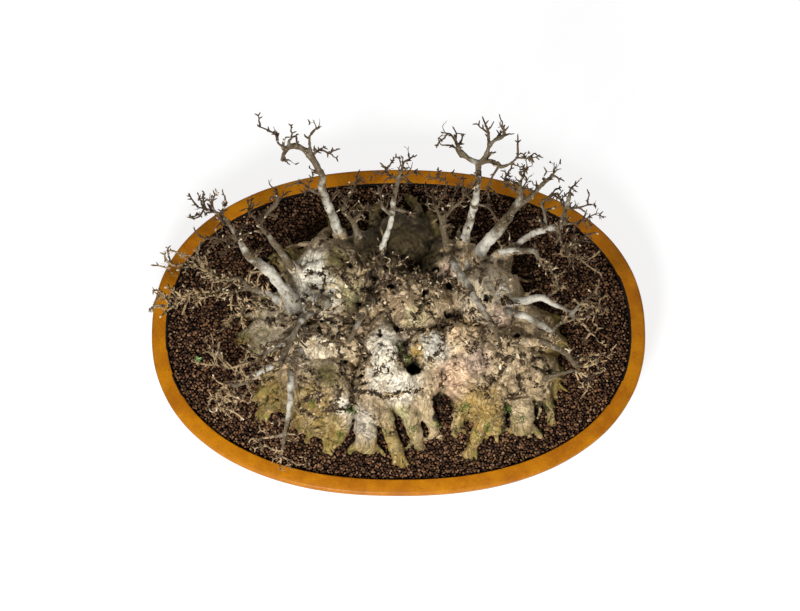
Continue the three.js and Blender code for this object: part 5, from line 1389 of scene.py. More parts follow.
def build_limbs(settings):
    """Grows the thick limbs as one skin with eased forks and ringed bark"""
    routes = []
    samples = []
    for name, shoots, route in LIMBS:
        thick, thin = girth_split(limb_points(name, route), settings.thin_limit / MM)
        if len(thick) > 1:
            routes.append(thick)
            for number, point in enumerate(thick):
                share = number / (len(thick) - 1)
                pale = bark_tone(name) * (1 - 0.8 * smoothstep(share, 0.55, 0.95))
                samples.append((point, pale * mixed(0.5, 1, smoothstep(share, 0, 0.2)), number))
    form = form_from(grown_together(tubes("limbs", routes, 3), settings.limb_grain))
    relax(form, 2)
    form.normal_update()
    near = search_tree([point.xyz for point, pale, step in samples])
    marks = {"pale": [], "girth": []}
    moves = []
    for vertex in form.verts:
        place = vertex.co / MM
        point, pale, step = samples[near.find(place)[1]]
        ring = max(0, noise.noise(Vector((step * 0.9, point.w * 3, pale * 5))) - 0.15)
        ridge = noise.noise(place / 2.4)
        old = noise.noise(place / 7 + Vector((4, 4, 4)))
        moves.append(vertex.normal * (LIMB_RINGS * ring + LIMB_RIDGES * ridge + LIMB_SWELLINGS * old) * MM)
        marks["pale"].append(min(1, max(0, pale + 0.4 * noise.noise(place / 11))))
        marks["girth"].append(point.w)
    move_all(form, moves)
    marks["sunk"] = hollowness(form, LIMB_SUNK_ROUNDS)
    mesh = mesh_from(form, "limbs")
    for name, values in marks.items():
        paint(mesh, name, values)
    soften(mesh)
    return finished_piece("limbs", mesh, limb_bark(settings), "tree")


def knotted(start, end, chance, girth, tip):
    """A short crooked twig between two places, knuckled at each bend"""
    count = max(2, round((end - start).length / 3))
    points = []
    for i in range(count + 1):
        share = i / count
        stray = any_push(chance, 0.9) * (1 if 0 < i < count else 0)
        width = mixed(girth, tip, share) * chance.uniform(0.82, 1.3)
        points.append(Vector((*keep_inside(start.lerp(end, share) + stray), width)))
    return points


def add_buds(routes, points, chance, share):
    """Sets short pointed buds and stubs, alone or in pairs, at that share of a twig's bends"""
    for before, point in zip(points, points[1:]):
        if chance.random() > share:
            continue
        along = (point.xyz - before.xyz).normalized()
        side = way_out(along, chance)
        for sign in (1, -1) if chance.random() < 0.5 else (1,):
            aim = (sign * side + 0.6 * along + Vector((0, 0, 0.2))).normalized()
            length = chance.uniform(2.5, 7)
            width = max(1, 0.75 * point.w)
            tip = keep_inside(point.xyz + length * aim)
            middle = point.xyz.lerp(tip, 0.6)
            routes.append([Vector((*point.xyz, width)), Vector((*middle, 0.8 * width)),
                           Vector((*tip, BUD_TIP))])


def grow_sprig(routes, place, heading, length, girth, chance, forks=1):
    """A crooked twig that turns at each pair of buds, with stubs, buds and smaller twigs"""
    points = [Vector((*place, girth))]
    done = 0
    while done < length:
        step = chance.uniform(2.6, 5)
        bend = any_push(chance, 1)
        heading = (heading + SPRIG_BEND * bend + Vector((0, 0, SPRIG_LIFT))).normalized()
        done += step
        place = keep_inside(points[-1].xyz + step * heading)
        place.z = max(place.z, soil_height(place.x, place.y) + 1.5 * girth)
        width = girth * (1 - 0.45 * min(done / length, 1)) * chance.uniform(0.75, 1.35)
        points.append(Vector((*place, width)))
        if forks and chance.random() < SPRIG_FORKS:
            side = way_out(heading, chance)
            grow_sprig(routes, place, (heading + 1.3 * side).normalized(),
                       length * chance.uniform(0.35, 0.7), 0.85 * width, chance, forks - 1)
    routes.append(points)
    add_buds(routes, points, chance, SPRIG_BUDS)


def build_twigs(settings):
    """Carries the limbs on into their thin ends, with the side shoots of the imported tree"""
    chance = random.Random(settings.seed + 1)
    routes = []
    for index, limb in enumerate(LIMBS):
        thick, thin = girth_split(limb_points(limb[0], limb[2]), settings.thin_limit / MM)
        if len(thin) > 1:
            thin[-1].w *= END_TAPER
            routes.append(thin)
            add_buds(routes, thin, chance, LIMB_END_BUDS)
        for start, end in shoots_of(limb, index):
            points = knotted(start.xyz, end.xyz, chance, max(start.w, LEAST_SHOOT), SHOOT_TIP)
            routes.append(points)
            add_buds(routes, points, chance, SHOOT_BUDS)
    return twig_piece("thin_twigs", routes, settings)


def build_sprigs(settings):
    """Adds the gnarled sprigs that crowd the limbs, and the long curled ones over the soil"""
    chance = random.Random(settings.seed + 2)
    routes = []
    for name, shoots, route in LIMBS:
        points = limb_points(name, route)
        crowd = next((more for start, more in CROWDED if name.startswith(start)), 1)
        for before, point in zip(points[1:], points[2:]):
            share = next(share for least, share in SPRIG_SHARES if point.w > least)
            if chance.random() > settings.sprig_share * crowd * share:
                continue
            along = (point.xyz - before.xyz).normalized()
            side = way_out(along, chance)
            heading = (side + 0.5 * along + Vector((0, 0, 0.2))).normalized()
            length = chance.triangular(3, 16, 5)
            girth = min(0.75 * point.w, chance.uniform(1.2, 2))
            grow_sprig(routes, point.xyz + side * (0.5 * point.w), heading, length, girth, chance)
        if name.startswith(CURLED):
            for before, point in zip(points[2::3], points[3::3]):
                along = (point.xyz - before.xyz).normalized()
                side = way_out(along, chance)
                side.z = abs(side.z) * 0.5
                curl(routes, point, (side + 0.6 * along).normalized(), chance)
    return twig_piece("limb_sprigs", routes, settings)


def curl(routes, start, heading, chance):
    """A long thin twig that bends round as it grows, with a few buds"""
    points = [Vector((*start.xyz, 1.3))]
    turn = chance.uniform(-0.3, 0.3)
    for _ in range(chance.randrange(5, 9)):
        heading = Matrix.Rotation(turn, 3, "Z") @ heading
        heading.z += chance.uniform(-0.25, 0.2)
        heading.normalize()
        place = keep_inside(points[-1].xyz + 4 * heading)
        place.z = max(place.z, soil_height(place.x, place.y) + 2)
        points.append(Vector((*place, chance.uniform(0.8, 1.3))))
    routes.append(points)
    add_buds(routes, points, chance, SHOOT_BUDS)


def build_thickets(settings):
    """Sets dead stubs and short twigs where old pruning left them, on top of the root mass"""
    chance = random.Random(settings.seed + 3)
    ground = surface_of("root_mass")
    routes = []
    for x, y, reach, count in THICKETS:
        crowd = round(count * settings.thicket_share)
        for foot, normal in dropped_round(ground, x, y, reach, crowd, chance):
            heading = (normal + any_push(chance, 0.8) + Vector((0, 0, 0.4))).normalized()
            length = chance.triangular(4, 20, 8)
            girth = chance.uniform(1.1, 3)
            grow_sprig(routes, foot - 1.5 * heading, heading, length, girth, chance)
    for foot, normal, way in dropped_in_creases(ground, CREASE_TWIG_SPACING, chance):
        heading = way * chance.choice((-1, 1)) + any_push(chance, 0.7)
        heading = (heading + 0.4 * normal).normalized()
        length = chance.uniform(3, 8)
        girth = chance.uniform(0.9, 1.3)
        grow_sprig(routes, foot + 0.5 * normal, heading, length, girth, chance)
    return twig_piece("thicket_twigs", routes, settings, THICKET_DARKNESS)


def twig_piece(name, routes, settings, dark=0):
    """Ends twigs in one piece, which knows how far each vertex lies from a cut tip"""
    for points in routes:
        for point in points:
            point.z = min(point.z, TREE_TOP - point.w)
    mesh = tubes(name, routes)
    tips = search_tree([points[-1].xyz for points in routes if points[-1].w > CUT_TIP])
    reaches = [tips.find(vertex.co / MM)[2] for vertex in mesh.vertices]
    paint(mesh, "cut", [1 - smoothstep(reach, *CUT_EDGE) for reach in reaches])
    soften(mesh, TWIG_EDGES)
    return finished_piece(name, mesh, twig_bark(settings, dark), "tree")


def surface_of(name):
    """The surface of a piece, to drop small things on"""
    mesh = bpy.data.objects[name].data
    return BVHTree.FromPolygons([vertex.co for vertex in mesh.vertices],
                                [face.vertices for face in mesh.polygons])


def drop_on(surface, x, y):
    """Where a thing dropped at x, y lands, in millimetres, and which way the surface faces"""
    spot, normal, number, far = surface.ray_cast(Vector((x * MM, y * MM, 1)), Vector((0, 0, -1)))
    return (None, None) if spot is None else (spot / MM, normal)


def dropped_round(surface, x, y, reach, count, chance, deepest=PIT_LIMIT, spread=0.5):
    """Drops that many things within reach of x, y, closer to it where the spread is higher. Gives
    where each lands, unless that is too deep in a pit, and which way the surface faces there."""
    for _ in range(count):
        around = any_turn(chance)
        far = reach * chance.random() ** spread
        foot, normal = drop_on(surface, x + far * math.cos(around), y + far * math.sin(around))
        if foot is not None and pit_share(foot.x, foot.y) <= deepest:
            yield foot, normal


def dropped_in_creases(surface, spacing, chance):
    """Drops things along the creases of the root mass. Gives where each lands, which way the
    surface faces there and which way the crease runs."""
    for name, width, depth, route in CREASES:
        for start, end in zip(route, route[1:]):
            way = (Vector(end) - Vector(start)).to_3d()
            for _ in range(round(way.length / spacing)):
                place = Vector(start).to_3d() + chance.random() * way
                place.x += chance.gauss(0, CREASE_STRAY)
                place.y += chance.gauss(0, CREASE_STRAY)
                foot, normal = drop_on(surface, place.x, place.y)
                if foot is not None and foot.z >= soil_height(place.x, place.y) + 4:
                    yield foot, normal, way.normalized()


def crumb_shapes(count, stray, flat, chance):
    """A few small crumbs, each a ball with its corners moved about, flattened to that share"""
    shapes = []
    for _ in range(count):
        form = bmesh.new()
        bmesh.ops.create_icosphere(form, subdivisions=1, radius=1)
        for vertex in form.verts:
            vertex.co *= 1 + chance.uniform(-stray, stray)
            vertex.co.z *= flat
        shapes.append(mesh_from(form, "crumb"))
    return shapes


def turned(place, size, chance, normal=None):
    """A matrix that sets a thing of that size at a place, turned at random about the normal"""
    spin = Euler((0, 0, any_turn(chance))).to_matrix()
    if normal is None:
        rotation = Euler([any_turn(chance) for _ in range(3)]).to_matrix()
    else:
        rotation = normal.to_track_quat("Z", "Y").to_matrix() @ spin
    scale = Matrix.Diagonal(Vector([size * chance.uniform(0.8, 1.25) for _ in range(3)]))
    return Matrix.Translation(place * MM) @ (rotation @ scale * MM).to_4x4()


def scattered_piece(name, shapes, copies, material):
    """One piece of many copies of small shapes. A copy is a shape's number, the matrix that sets
    it and its tint."""
    form = bmesh.new()
    tints = []
    for shape, matrix, tint in copies:
        copy = shapes[shape].copy()
        copy.transform(matrix)
        form.from_mesh(copy)
        tints += [tint] * len(copy.vertices)
        bpy.data.meshes.remove(copy)
    mesh = mesh_from(form, name)
    paint(mesh, "tint", tints)
    soften(mesh, CRUMB_EDGES)
    return finished_piece(name, mesh, material)


def in_hollow(spot):
    """Whether a place lies in a hollow that is open down to the soil"""
    for name, at, half in HOLLOWS:
        if at[2] - half[2] < CUT_HEIGHT and oval_distance(at, half, spot.x, spot.y) < HOLLOW_OPENING:
            return True
    return any(math.dist(spot.xy, place) < CREASE_OPENING for name, width, depth, route in CREASES
               if depth > OPEN_CREASE for place in route)


def grain_places(pitch, loose_share, chance):
    """Places of the soil's grains, row by row, each with the half of the pot that it belongs to"""
    row = 0
    y = -HALF_DEPTH
    while y < HALF_DEPTH:
        x = -HALF_LENGTH + (row % 2) * pitch / 2
        while x < HALF_LENGTH:
            spot = Vector((x + chance.uniform(-GRAIN_STRAY, GRAIN_STRAY) * pitch,
                           y + chance.uniform(-GRAIN_STRAY, GRAIN_STRAY) * pitch, 0))
            x += pitch
            if oval_reach(spot.x, spot.y) > GRAIN_EDGE:
                continue
            ground = grain_level(spot.x, spot.y)
            if mass_height(spot.x, spot.y) > ground + 4 and not in_hollow(spot):
                continue
            spot.z = ground + chance.uniform(-0.7, 0.7)
            half = "west" if spot.x < 0 else "east"
            yield half, spot
            if chance.random() < loose_share:
                yield half, spot + Vector((chance.uniform(-1, 1), chance.uniform(-1, 1), 1.7))
        y += pitch * ROW_SPACING
        row += 1


def build_soil(settings):
    """Covers the soil with its grains, and gives the packed soil under them a nearly black finish: partly
    dark soil, partly painted shade between the grains
    """
    chance = random.Random(settings.seed)
    pitch = settings.grain / MM
    shapes = crumb_shapes(6, 0.2, 0.9, chance)
    halves = {"west": [], "east": []}
    for half, place in grain_places(pitch, settings.loose_share, chance):
        halves[half].append(place)
    finish = grain_finish(settings)
    for half, places in halves.items():
        copies = []
        for place in places:
            size = GRAIN_SIZE * pitch * chance.triangular(0.75, 1.2, 1)
            number = chance.randrange(len(shapes))
            copies.append((number, turned(place, size, chance), chance.random()))
        scattered_piece(f"soil_grains_{half}", shapes, copies, finish)
    discard(shapes)
    # The packed soil under the grains is painted nearly black, as shade in the gaps between them
    packed = gap_shade_soil_finish(settings)
    dress("soil", packed)
    build_soil_bed(packed)


def build_soil_bed(packed):
    """The packed soil that the grains along the wall lie on, in the same nearly black finish that paints
    shade under the grains
    """
    inner = HALF_LENGTH - RIM_WIDTH
    section = [(inner * share, RIM_HEIGHT) for share in (0.6, 0.7, 0.8, 0.86, 0.9, 0.94, 0.98, 0.995)]
    section += [(inner - 7, RIM_HEIGHT - 24), (inner * 0.6, RIM_HEIGHT - 26), (inner * 0.6, RIM_HEIGHT)]
    form = oval_turned(section, 144)
    for vertex in form.verts:
        x, y, z = vertex.co
        if z > RIM_HEIGHT - 1:
            vertex.co.z = grain_level(x, y) - 2
    bmesh.ops.recalc_face_normals(form, faces=form.faces)
    to_metres(form)
    mesh = mesh_from(form, "soil_bed")
    soften(mesh)
    return finished_piece("soil_bed", mesh, packed)


def discard(meshes):
    """Removes meshes that only served as patterns"""
    for mesh in meshes:
        bpy.data.meshes.remove(mesh)


def dress(node, material):
    """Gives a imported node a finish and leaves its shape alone"""
    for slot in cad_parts[node].material_slots:
        slot.material = material


def is_bare(x, y):
    """Whether a place on the root mass is kept clear of crumbs"""
    return any(math.hypot(x - at_x, y - at_y) < reach for at_x, at_y, reach in BARE)


def build_litter(settings):
    """Drops flakes and crumbs of bark on the root mass and into its creases, and pale chips"""
    chance = random.Random(settings.seed + 4)
    ground = surface_of("root_mass")
    crumbs = crumb_shapes(5, 0.35, 0.4, chance)
    copies = []
    while len(copies) < settings.flakes:
        x = chance.uniform(MASS["x0"], MASS["x1"])
        y = chance.uniform(MASS["y0"], MASS["y1"])
        crowded = noise.noise(Vector((x, y, 0)) / 21) + 0.5 * noise.noise(Vector((x, y, 9)) / 8)
        if crowded < 0.15 + 0.35 * math.hypot((x - 8) / 150, (y - 8) / 90) or is_bare(x, y):
            continue
        foot, normal = drop_on(ground, x, y)
        if foot is None or foot.z < soil_height(x, y) + 6 or pit_share(x, y) > PIT_LIMIT:
            continue
        if foot.z > mass_height(x, y) + 3 * crowded - 2.5:
            continue
        size = chance.triangular(0.6, 3, 1)
        number = chance.randrange(len(crumbs))
        copies.append((number, turned(foot, size, chance, normal), chance.random()))
    for foot, normal, way in dropped_in_creases(ground, settings.crumb_spacing / MM, chance):
        size = chance.triangular(0.6, 2.2, 1)
        number = chance.randrange(len(crumbs))
        copies.append((number, turned(foot, size, chance, normal), DARK_TINTS * chance.random()))
    shapes = crumbs + crumb_shapes(5, 0.4, 0.13, chance)
    for x, y, reach, count in CHIPPED:
        for foot, normal in dropped_round(ground, x, y, reach, count, chance):
            lean = normal + any_push(chance, 0.8)
            size = chance.triangular(1.4, 4.4, 2.2)
            matrix = turned(foot + 0.5 * normal, size, chance, lean.normalized())
            number = chance.randrange(len(crumbs), len(shapes))
            copies.append((number, matrix, chance.uniform(PALE_TINTS, 1)))
    scattered_piece("bark_litter", shapes, copies, litter_finish(settings))
    discard(shapes)


def build_moss(settings):
    """Grows small cushions of moss in the creases of the roots"""
    chance = random.Random(settings.seed + 5)
    ground = surface_of("root_mass")
    form = bmesh.new()
    bmesh.ops.create_cone(form, segments=5, radius1=0.4, radius2=0.08, depth=2.4)
    shapes = [mesh_from(form, "shoot")]
    copies = []
    for x, y, reach in MOSS:
        for foot, normal in dropped_round(ground, x, y, reach, settings.moss_shoots, chance, 1, 0.7):
            lean = normal + any_push(chance, 0.6)
            size = chance.uniform(0.8, 1.5)
            copies.append((0, turned(foot, size, chance, lean.normalized()), chance.random()))
    scattered_piece("moss_cushions", shapes, copies, moss_finish(settings))
    discard(shapes)


def build_seedling(settings):
    """Grows the small green seedling, with a bent stem and folded leaves"""
    ground = soil_height(SEEDLING["x"], SEEDLING["y"])
    crown = ground + SEEDLING["height"]
    foot = Vector((SEEDLING["x"], SEEDLING["y"], ground - SEEDLING["depth"] + 0.4))
    stem = [Vector((foot.x + 0.3 * math.sin(3 * share), foot.y, mixed(foot.z, crown - 0.6, share),
                    mixed(SEEDLING["stem"], 0.45, share))) for share in (0, 0.2, 0.4, 0.6, 0.8, 1)]
    form = form_from(tubes("stem", [stem], 2))
    for number in range(SEEDLING["leaves"]):
        blade = bmesh.ops.create_grid(form, x_segments=12, y_segments=6, size=1)["verts"]
        for vertex in blade:
            along = (vertex.co.x + 1) / 2
            broad = 1.5 * math.sin(math.pi * min(1, along ** 0.8)) ** 0.7 + 0.12
            across = vertex.co.y
            edge = 1 + 0.1 * math.cos(9 * math.pi * along) * abs(across)
            vertex.co.x = 0.3 + LEAF_LENGTH * along
            vertex.co.y = across * broad * edge
            vertex.co.z = 0.45 * abs(across) * broad + 0.9 * math.sin(1.9 * along) - 0.2 * along
        turn = number * 2 * math.pi / SEEDLING["leaves"] + 0.5
        bmesh.ops.rotate(form, cent=(0, 0, 0), matrix=Matrix.Rotation(turn, 3, "Z"), verts=blade)
        bmesh.ops.translate(form, vec=(foot.x, foot.y, crown - 1.1 + 0.5 * (number % 2)), verts=blade)
        bmesh.ops.scale(form, vec=(MM, MM, MM), verts=blade)
    blades = mesh_from(form, "seedling")
    mesh = with_modifier(blades, "SOLIDIFY", {"thickness": 0.25 * MM, "offset": 0})
    soften(mesh)
    return finished_piece("green_seedling", mesh, leaf_finish(settings), "seedling")


def glaze(settings):
    """Amber glaze over dark clay: mottled, thin and brown on its edges"""
    finish = Finish("amber_glaze")
    mottle = finish.cloud(30, 5, 0.6)
    fleck = finish.cloud(2.4, 4, 0.6)
    speck = finish.rise(finish.cloud(3.2, 2), 0.66, 0.74)
    amber = finish.blend(finish.rise(mottle, 0.32, 0.68), settings.glaze_dark, settings.glaze)
    amber = finish.tint(amber, 0.72 + 0.56 * fleck)
    amber = finish.blend(0.6 * speck, amber, tone(84, 48, 8))
    # Nearly black clay: partly the clay's own colour, partly painted shade on the inner wall
    clay = finish.tint(settings.clay, 0.5 + fleck)
    glazed = finish.rise(finish.attribute("glazed") + 0.25 * (fleck - 0.5), 0.42, 0.58)
    pits = finish.bump(finish.cloud(1.3, 2), 0.08, 0.7, finish.bump(mottle, 0.6, 0.5))
    return finish.shade({
        "Base Color": finish.blend(glazed, clay, amber), "Roughness": 0.9 - glazed * (0.5 - 0.2 * fleck),
        "Coat Weight": 0.06 * glazed, "Coat Roughness": 0.2, "Specular IOR Level": 0.12, "Normal": pits,
    })


def root_bark(settings):
    """Bark of the root mass: torn plates, streaks, pale scuffs, dark cracks, and painted shade in its
    creases, hollows and pits
    """
    finish = Finish("weathered_root_bark")
    dark = settings.bark_dark
    crease = settings.crease
    mottle = finish.cloud(9, 7, 0.66)
    fleck = finish.cloud(1.7, 4, 0.65)
    crack = finish.attribute("crack")
    sunk = finish.attribute("sunk")
    deep = finish.attribute("deep")
    streak = finish.attribute("streak")
    plate = finish.attribute("plate")
    lines = finish.node("ShaderNodeTexNoise", None, {
        "Vector": finish.attribute("flow", "Color"), "Scale": 1.0, "Detail": 5.0, "Roughness": 0.7,
    })
    patch = finish.attribute("patch", "Color")
    light = finish.rise(finish.node("ShaderNodeSeparateColor", None, {0: patch}, 1), 0.03, 0.24)
    worn = finish.blend(0.3, finish.tint(patch, 1.35), settings.bark_scuffed)
    worn_share = 0.5 * light * finish.rise(plate + 0.6 * (mottle - 0.5), 0.7, 1.2)
    bark = finish.blend(worn_share, patch, worn)
    bark = finish.tint(bark, 0.5 * mottle + 0.3 * fleck + 1.5 * lines - 0.04)
    bark = finish.blend(0.6 * finish.rise(lines, 0.53, 0.66), bark, dark)
    hair = 1 - finish.rise(finish.maths("MAXIMUM", lines - 0.46, 0.46 - lines), 0.004, 0.02)
    bark = finish.blend(0.6 * hair, bark, dark)
    blotch = finish.cloud(13, 6, 0.6, place=finish.stirred(20, 14))
    bark = finish.blend(0.4 * finish.rise(blotch, 0.52, 0.6), bark, dark)
    bark = finish.blend(0.35 * finish.rise(streak, 0.12, 0.6), bark, dark)
    bark = finish.blend(0.55 * finish.rise(crack, 0.04, 0.5), bark, dark)
    fresh = finish.blend(0.35, finish.tint(patch, 1.6), settings.bark_pale)
    bark = finish.blend(0.75 * light * finish.rise(mottle * fleck, 0.3, 0.4), bark, fresh)
    flake = finish.rise(finish.cloud(4.5, 3, 0.5), 0.6, 0.64) * finish.rise(finish.cloud(19, 2), 0.45, 0.6)
    peeled = finish.blend(0.5, finish.tint(patch, 1.6), settings.bark_peeled)
    bark = finish.blend(0.75 * light * flake, bark, peeled)
    seam = finish.cloud(15, 4, 0.55, place=finish.stirred(8, 8))
    seam = 1 - finish.rise(finish.maths("MAXIMUM", seam - 0.5, 0.5 - seam), 0.003, 0.014)
    # Cracks and seams: partly dark bark lines, partly painted shade in creases and pits
    cuts = finish.maths("MAXIMUM", finish.rise(crack + 0.4 * (fleck - 0.5), 0.3, 0.8), 0.4 * seam)
    bark = finish.blend(cuts, bark, crease)
    # Painted shade: what lies below its surroundings is darkened to nearly black
    bark = finish.blend(0.9 * finish.rise(sunk, 0.6, 1.8), bark, crease)
    bark = finish.blend(0.97 * finish.rise(deep, 0.8, 4), bark, crease)
    damp = finish.rise(finish.height() + 0.03 * (mottle - 0.5), 0.105, 0.07)
    damp = damp * finish.rise(finish.cloud(12, 4), 0.45, 0.6)
    bark = finish.blend(0.5 * damp, bark, settings.algae)
    relief = finish.bump(mottle, 1.6, 0.9, finish.bump(fleck, 0.4, 0.9))
    relief = finish.bump(1 - cuts, 1.2, 0.9, finish.bump(lines - 0.3 * hair, 2.2, 0.9, relief))
    return finish.shade({
        "Base Color": bark, "Roughness": 0.92 - 0.25 * fleck, "Specular IOR Level": 0.3, "Normal": relief,
    })


def limb_bark(settings):
    """Bark of the limbs: smooth and pale where it is young and sound, brown and rough elsewhere, with
    painted shade in its hollows
    """
    finish = Finish("limb_bark")
    mottle = finish.cloud(9, 6, 0.62)
    fleck = finish.cloud(1.5, 4, 0.65)
    pale = finish.rise(finish.attribute("pale") + 0.7 * (mottle - 0.5), 0.15, 0.85)
    slender = finish.rise(finish.attribute("girth"), 3.4, 2)
    pale = pale * (1 - 0.7 * slender)
    bark = finish.blend(pale, settings.bark_brown, settings.bark_smooth)
    rough = 1 - pale
    bark = finish.tint(bark, 0.3 + 0.62 * mottle + 0.55 * fleck)
    stain = finish.rise(finish.cloud(5, 4, place=finish.stirred(9, 6)), 0.52, 0.6)
    bark = finish.blend(0.7 * stain * (0.5 + 0.5 * rough), bark, settings.bark_dark)
    scuff = finish.rise(fleck, 0.58, 0.7)
    bark = finish.blend(0.6 * scuff, bark, settings.bark_pale)
    # Painted shade: hollows and forks of the limbs are darkened
    bark = finish.blend(0.9 * finish.rise(finish.attribute("sunk"), 0.06, 0.4), bark, settings.crease)
    relief = finish.bump(mottle, 2, 0.8, finish.bump(fleck, 0.6, 0.9))
    return finish.shade({
        "Base Color": bark, "Roughness": 0.8 - 0.2 * pale, "Specular IOR Level": 0.35, "Normal": relief,
    })


def twig_bark(settings, dark):
    """Bark of the twigs: brown, darker high up and where the dark share is higher, with scuffed
    knuckles and pale cut tips"""
    finish = Finish("twig_bark")
    mottle = finish.cloud(7, 4, 0.6)
    fleck = finish.cloud(1.4, 3, 0.65)
    bark = finish.blend(finish.rise(mottle - dark, 0.4, 0.56), settings.twig_dark, settings.twig_pale)
    bark = finish.tint(bark, 0.3 + 1.3 * fleck)
    bark = finish.blend(0.6 * finish.rise(fleck, 0.6, 0.7), bark, settings.bark_pale)
    bark = finish.blend(0.85 * finish.rise(finish.height(), 0.12, 0.19), bark, settings.twig_dark)
    tip = finish.attribute("cut") * finish.rise(finish.cloud(9, 1), 0.5, 0.56)
    bark = finish.blend(0.8 * tip, bark, settings.bark_peeled)
    return finish.shade({
        "Base Color": bark, "Roughness": 0.85, "Specular IOR Level": 0.25,
        "Normal": finish.bump(fleck, 0.5, 0.9),
    })


def grain_finish(settings):
    """Baked clay grains, each its own shade of brown, and nearly black where they are damp"""
    finish = Finish("soil_grains")
    fleck = finish.cloud(1.1, 3, 0.6)
    dark = settings.grain_dark
    pale = settings.grain_pale
    grain = finish.shades((
        (0, mixed((0, 0, 0), dark, 0.25)), (0.12, dark), (0.5, mixed(dark, pale, 0.3)), (0.9, pale),
        (1, mixed(pale, CREAM, 0.15)),
    ))
    grain = finish.tint(grain, 0.5 + fleck)
    return finish.shade({
        "Base Color": grain, "Roughness": 0.92, "Specular IOR Level": 0.2,
        "Normal": finish.bump(fleck, 0.6, 0.9),
    })


def gap_shade_soil_finish(settings):
    """The dark fine soil that shows between the grains, made nearly black as painted shade in the gaps"""
    finish = Finish("soil_with_painted_gap_shade")
    fleck = finish.cloud(1.6, 4, 0.6)
    # Nearly black: the soil's own dark colour, darkened further as painted shade between the grains
    dust = finish.tint(settings.grain_dark, 0.05 + 0.2 * fleck)
    return finish.shade({
        "Base Color": dust, "Roughness": 0.97, "Specular IOR Level": 0.1, "Normal": finish.bump(fleck, 1.2),
    })


def litter_finish(settings):
    """Bark crumbs from nearly black to cream"""
    finish = Finish("bark_litter")
    fleck = finish.cloud(1.2, 3)
    crumb = finish.shades((
        (0, mixed(settings.crease, settings.bark_dark, 0.4)), (0.55, settings.bark_dark),
        (0.8, settings.twig_pale), (0.95, settings.bark_scuffed), (1, settings.bark_peeled),
    ))
    return finish.shade({
        "Base Color": finish.tint(crumb, 0.6 + 0.7 * fleck), "Roughness": 0.9, "Specular IOR Level": 0.25,
        "Normal": finish.bump(fleck, 0.3),
    })


def moss_finish(settings):
    """Moss from dark to fresh green, one shade a shoot"""
    finish = Finish("moss")
    green = finish.blend(finish.attribute("tint"), settings.moss_dark, settings.moss_fresh)
    return finish.shade({"Base Color": finish.tint(green, 0.7 + 0.6 * finish.cloud(2, 2)), "Roughness": 0.8})


def leaf_finish(settings):
    """The seedling's bright leaf, lighter in soft patches"""
    finish = Finish("seedling_leaf")
    cloud = finish.cloud(1.6, 4)
    leaf = settings.leaf
    green = finish.blend(finish.rise(cloud, 0.35, 0.65), leaf, mixed(leaf, CREAM, 0.2))
    return finish.shade({
        "Base Color": green, "Roughness": 0.45, "Coat Weight": 0.15, "Normal": finish.bump(cloud, 0.15),
    })


def mesh_finish(settings):
    """Black plastic of the drain screens, dusted with soil"""
    finish = Finish("drain_mesh")
    dust = finish.rise(finish.cloud(5, 5), 0.45, 0.7)
    return finish.shade({
        "Base Color": finish.blend(0.6 * dust, tone(26, 28, 26), settings.grain_dark),
        "Roughness": 0.5 + 0.4 * dust, "Normal": finish.bump(finish.cloud(0.8, 2), 0.05),
    })


def wire_finish():
    """Soft aluminium wire, dulled and scratched"""
    finish = Finish("aluminium_wire")
    dull = finish.cloud(3, 5)
    return finish.shade({
        "Base Color": finish.blend(dull, tone(150, 144, 136), tone(196, 190, 182)), "Metallic": 1.0,
        "Roughness": 0.3 + 0.4 * dull, "Normal": finish.bump(finish.cloud(0.5, 2), 0.03),
    })


def floor_finish(settings):
    """Pale seamless paper"""
    finish = Finish("pale_floor")
    grain = finish.cloud(900, 3)
    return finish.shade({
        "Base Color": finish.tint(settings.floor, 0.98 + 0.04 * grain), "Roughness": 0.95,
        "Specular IOR Level": 0.1, "Emission Color": (1, 1, 1, 1), "Emission Strength": 0.8,
    })


def build_studio(settings):
    """Sets the floor, the lights and the camera at the photograph's angle"""
    scene = bpy.context.scene
    form = bmesh.new()
    bmesh.ops.create_grid(form, x_segments=8, y_segments=8, size=settings.floor_size / 2)
    paper = mesh_from(form, "floor")
    floor = bpy.data.objects.new("floor", paper)
    scene.collection.objects.link(floor)
    paper.materials.append(floor_finish(settings))
    for name, place, size, power in (
        ("key_light", settings.key_place, settings.key_size, settings.key_power),
        ("fill_light", settings.fill_place, settings.fill_size, settings.fill_power),
    ):
        lamp = bpy.data.lights.new(name, "AREA")
        lamp.shape = "DISK"
        lamp.size = size
        lamp.energy = power
        light = bpy.data.objects.new(name, lamp)
        light.location = place
        light.rotation_euler = (VIEW_TARGET - light.location).to_track_quat("-Z", "Y").to_euler()
        scene.collection.objects.link(light)
    world = bpy.data.worlds.new("studio")
    world.use_nodes = True
    background = world.node_tree.nodes["Background"]
    background.inputs["Color"].default_value = (1, 1, 1, 1)
    background.inputs["Strength"].default_value = settings.sky
    scene.world = world
    scene.view_settings.view_transform = "Standard"
    elevation = math.radians(VIEW_ELEVATION)
    camera = bpy.data.objects.new("camera", bpy.data.cameras.new("camera"))
    camera.location = VIEW_TARGET + VIEW_DISTANCE * Vector((0, -math.cos(elevation), math.sin(elevation)))
    camera.rotation_euler = (math.pi / 2 - elevation, 0, 0)
    camera.data.sensor_width = SENSOR_WIDTH
    camera.data.lens = FOCAL_PIXELS * SENSOR_WIDTH / PHOTO_WIDTH
    camera.data.clip_end = 50
    scene.collection.objects.link(camera)
    scene.camera = camera


def size_setting(name, description, default, unit=MM):
    """A size that a user would change, given in millimetres unless another unit is named"""
    return FloatProperty(name=name, description=description, default=default * unit, min=0,
                         subtype="DISTANCE", unit="LENGTH", precision=5)


def colour_setting(name, description, default):
    """A colour that a user would change"""
    return FloatVectorProperty(name=name, description=description, default=default, size=3, min=0,
                               max=1, subtype="COLOR")


